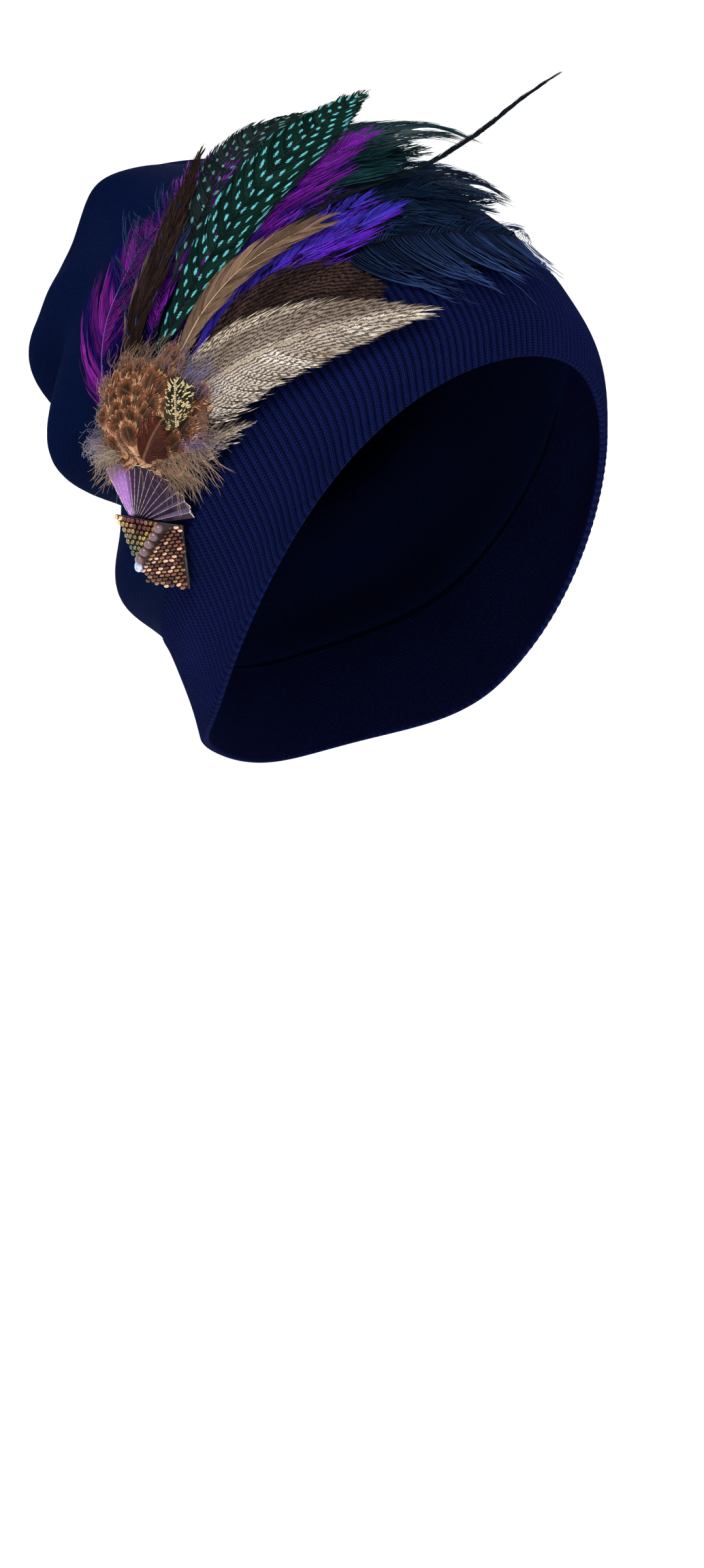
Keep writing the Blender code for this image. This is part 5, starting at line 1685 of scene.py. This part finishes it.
def make_beads():
    """Both kinds of beads as one mesh, each bead with its own size, colour and tone."""
    blocks, colours, tones = [], [], []
    for x, y, size, turn, colour in (copper_beads(), corner_beads()):
        spread = chance.uniform(0.88, 1.08, len(x))
        halves = [half * spread for half in size]
        made, groups, which = ellipsoids(x, y, 1.0 * MM + halves[2] * 0.85, *halves, turn)
        blocks.append((made, groups))
        colours.append(colour[which])
        tones.append(chance.random(len(x))[which])
    glass = Finish("lustre_beads", Roughness=0.15, Metallic=0.75, Coat_Weight=0.5, Coat_Roughness=0.06)
    cloud = glass.noise(glass.place(), 700.0, 2.0)
    dark = glass.times(cloud, 0.4)
    glass.paint(glass.mix(dark, glass.attribute("dye", "Color"), dye(60, 24, 12)))
    points, faces, _ = join(blocks)
    return add_piece("lustre_beads", points, faces, [glass.material],
                     tone=np.concatenate(tones), colour=np.vstack(colours))


make_beads()

# %% [markdown]
# Five mauve-grey pearls run down the line between the two parts. A clear cut
# stone with a rainbow foil ends it: a table, eight pairs of crown facets with
# stars between them, and a girdle of sixteen over a point.

# %% Pearls
pearl_finish = Finish("pearl_lustre", Roughness=0.22, Metallic=0.15, Coat_Weight=0.7,
                      Thin_Film_Thickness=330.0)
bloom = pearl_finish.noise(pearl_finish.place(), 500.0, 2.0)
pearl_finish.paint(pearl_finish.mix(bloom, dye(74, 54, 54), dye(122, 98, 98)))
for number, (x, y) in enumerate(stone_line()[:-1], 1):
    one = np.full(1, PEARL_RADIUS)
    height = one + SHIELD_THICKNESS + GAP
    points, faces, _ = ellipsoids(np.array([x]), np.array([y]), height, one, one, one, np.zeros(1),
                                  segments=32, rings=19)
    add_piece(f"lustre_pearl_{number}", points, faces, [pearl_finish.material],
              [f"pearl_{number}"])


# %% Cut stone
GIRDLE = 16
CROWN_FACETS = 8
TABLE_SHARE = 0.58       # of the stone's radius
GIRDLE_FOOT, GIRDLE_TOP = 0.15, 0.45


def make_stone():
    """Two rings of the girdle, the table's ring and one point below, numbered in that order."""
    x, y = stone_line()[-1]
    ring = np.radians(np.arange(GIRDLE) * 360.0 / GIRDLE)
    crown = np.radians((np.arange(CROWN_FACETS) + 0.5) * 360.0 / CROWN_FACETS)
    base = SHIELD_THICKNESS + GAP
    levels = ((1.0, ring, GIRDLE_FOOT), (1.0, ring, GIRDLE_TOP), (TABLE_SHARE, crown, 1.0))
    rings = [np.stack([x + STONE_RADIUS * size * np.cos(turn), y + STONE_RADIUS * size * np.sin(turn),
                       0 * turn + base + STONE_HEIGHT * rise], -1) for size, turn, rise in levels]
    points = on_brooch(*np.vstack([*rings, (x, y, base)]).T)
    turn, facet = np.arange(GIRDLE), np.arange(CROWN_FACETS)
    after = (turn + 1) % GIRDLE
    table = 2 * GIRDLE + facet
    near, middle, far = (GIRDLE + (2 * facet + step) % GIRDLE for step in range(3))
    girdle = np.stack([turn, after, GIRDLE + after, GIRDLE + turn], 1)
    kites = np.concatenate([np.stack([table, near, middle], 1), np.stack([table, middle, far], 1)])
    stars = np.stack([table, far, 2 * GIRDLE + (facet + 1) % CROWN_FACETS], 1)
    under = np.stack([0 * turn + 2 * GIRDLE + CROWN_FACETS, after, turn], 1)
    crystal = Finish("rainbow_crystal", Roughness=0.03, Metallic=0.25, IOR=1.6,
                     Transmission_Weight=0.45, Thin_Film_Thickness=520.0)
    # Painted glints: noise of pale blue and near white on the stone.
    spark = crystal.noise(crystal.place(), 800.0, 1.0)
    crystal.paint(crystal.mix(crystal.step(spark, 0.42, 0.58), dye(150, 205, 250), dye(246, 236, 252)))
    return add_piece("crystal", points, [girdle, kites, stars, under, table[None, :]],
                     [crystal.material], ["rhinestone"], smooth=False)


make_stone()

# %% [markdown]
# The hat hangs over a plain pale floor, which curves up all round into a wall,
# so no horizon crosses any view. Its paper glows a little, which keeps it even
# from every side. Three wide soft lights and a pale world show the dark wool
# without hard shadows.

# %% Floor and light
FLOOR_DROP = 0.34
FLOOR_REACH = 2.6
SWEEP_RADIUS = 1.0
WALL_TOP = 4.0
PAPER_GLOW = 0.22
HAT_MIDDLE = (0.0, 0.0, 0.03)
LIGHTS = (
    # name, watts, side of the square in metres, place
    ("key", 42.0, 0.9, (-1.5, -1.2, 1.7)),
    ("fill", 16.0, 1.6, (1.3, -1.9, 0.7)),
    ("rim", 20.0, 1.2, (0.6, 1.4, 1.6)),
)


def make_floor():
    """A profile, flat, then a quarter circle up, then a wall, turned once round the upright."""
    bend = np.linspace(0, np.pi / 2, 16)
    wall = FLOOR_REACH + SWEEP_RADIUS
    reach = np.concatenate([[0.02, 1.2], FLOOR_REACH + SWEEP_RADIUS * np.sin(bend), [wall]])
    rise = np.concatenate([[0.0, 0.0], SWEEP_RADIUS * (1 - np.cos(bend)), [WALL_TOP]]) - FLOOR_DROP
    turn = np.linspace(0, 2 * np.pi, 96, endpoint=False)[None, :]
    round_floor = (reach[:, None] * np.cos(turn), reach[:, None] * np.sin(turn), rise[:, None])
    grid = np.stack(np.broadcast_arrays(*round_floor), -1)
    middle = np.arange(turn.size)
    faces = grid_faces(*grid.shape[:2], closed=True).tolist() + [middle.tolist()]
    mesh = bpy.data.meshes.new("floor")
    mesh.from_pydata(grid.reshape(-1, 3).tolist(), [], faces)
    paper = Finish("pale_paper", Roughness=0.9, Base_Color=dye(240, 240, 239),
                   Emission_Color=(1.0, 1.0, 1.0, 1.0), Emission_Strength=PAPER_GLOW)
    mesh.materials.append(paper.material)
    mesh.shade_smooth()
    floor = bpy.data.objects.new("floor", mesh)
    bpy.context.scene.collection.objects.link(floor)
    floor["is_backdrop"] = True


def matrix_of(columns):
    """Blender matrix from the three directions and the place of a light or camera."""
    return Matrix([list(map(float, row)) for row in np.stack(columns, 1)] + [[0, 0, 0, 1]])


def soft_light(name, power, size, place):
    """Square area light that looks at the hat."""
    lamp = bpy.data.lights.new(name, "AREA")
    lamp.energy = power
    lamp.size = size
    light = bpy.data.objects.new(name, lamp)
    away = unit(np.array(place) - np.array(HAT_MIDDLE))
    side = unit(np.cross((0.0, 0.0, 1.0), away))
    light.matrix_world = matrix_of([side, np.cross(away, side), away, place])
    bpy.context.scene.collection.objects.link(light)


# %% [markdown]
# The camera stands where the photograph's did: level with the hat's middle, 36
# degrees round to its right and 1.5 metres away. The hat sits high in the tall
# picture, so the camera aims below and a little ahead of it. Those two angles
# come from the pixel where the hat's middle, the origin, lies.

# %% Camera
PICTURE_HEIGHT = 2400
FOCAL_PIXELS = 5850.0
SENSOR_MM = 36.0
CAMERA_DISTANCE = 1.5
PHOTO_TURN = np.radians(-36.0)
HAT_LEFT_OF_MIDDLE = 41.0
HAT_ABOVE_MIDDLE = 443.0


def make_camera():
    right = np.array([np.cos(PHOTO_TURN), np.sin(PHOTO_TURN), 0.0])
    ahead = np.array([-np.sin(PHOTO_TURN), np.cos(PHOTO_TURN), 0.0])
    up = np.array([0.0, 0.0, 1.0])
    place = -ahead * CAMERA_DISTANCE
    yaw = np.arctan2(HAT_LEFT_OF_MIDDLE, FOCAL_PIXELS)
    pitch = np.arctan2(HAT_ABOVE_MIDDLE, FOCAL_PIXELS)
    turned = ahead * np.cos(yaw) - right * np.sin(yaw)
    side = right * np.cos(yaw) + ahead * np.sin(yaw)
    aim = turned * np.cos(pitch) - up * np.sin(pitch)
    top = up * np.cos(pitch) + turned * np.sin(pitch)
    lens = bpy.data.cameras.new("photo_camera")
    lens.sensor_fit = "VERTICAL"
    lens.sensor_height = lens.sensor_width = SENSOR_MM
    lens.lens = SENSOR_MM * FOCAL_PIXELS / PICTURE_HEIGHT
    lens.clip_start, lens.clip_end = 0.05, 50.0
    camera = bpy.data.objects.new("photo_camera", lens)
    camera.matrix_world = matrix_of([side, top, -aim, place])
    bpy.context.scene.collection.objects.link(camera)
    bpy.context.scene.camera = camera


make_camera()
make_floor()
for light_row in LIGHTS:
    soft_light(*light_row)
world = bpy.data.worlds.new("pale_room")
world.use_nodes = True
background = world.node_tree.nodes["Background"]
background.inputs["Color"].default_value = (0.93, 0.95, 1.0, 1.0)
background.inputs["Strength"].default_value = 0.6
bpy.context.scene.world = world
print("lights:", *(row[0] for row in LIGHTS), "camera:", bpy.context.scene.camera.name)

# %% [markdown]
# Last, the two boxes are printed, the solids' and the dressed hat's. They
# differ by the few millimetres that loose barbs and down stand out.

# %% Sizes and finish
boxes = {"solids": solid_box, "dressed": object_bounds()}
sizes = {name: [list(corner) for corner in box] for name, box in boxes.items()}
for name, box in sizes.items():
    print(name, "mm", [[round(v / MM) for v in corner] for corner in box])
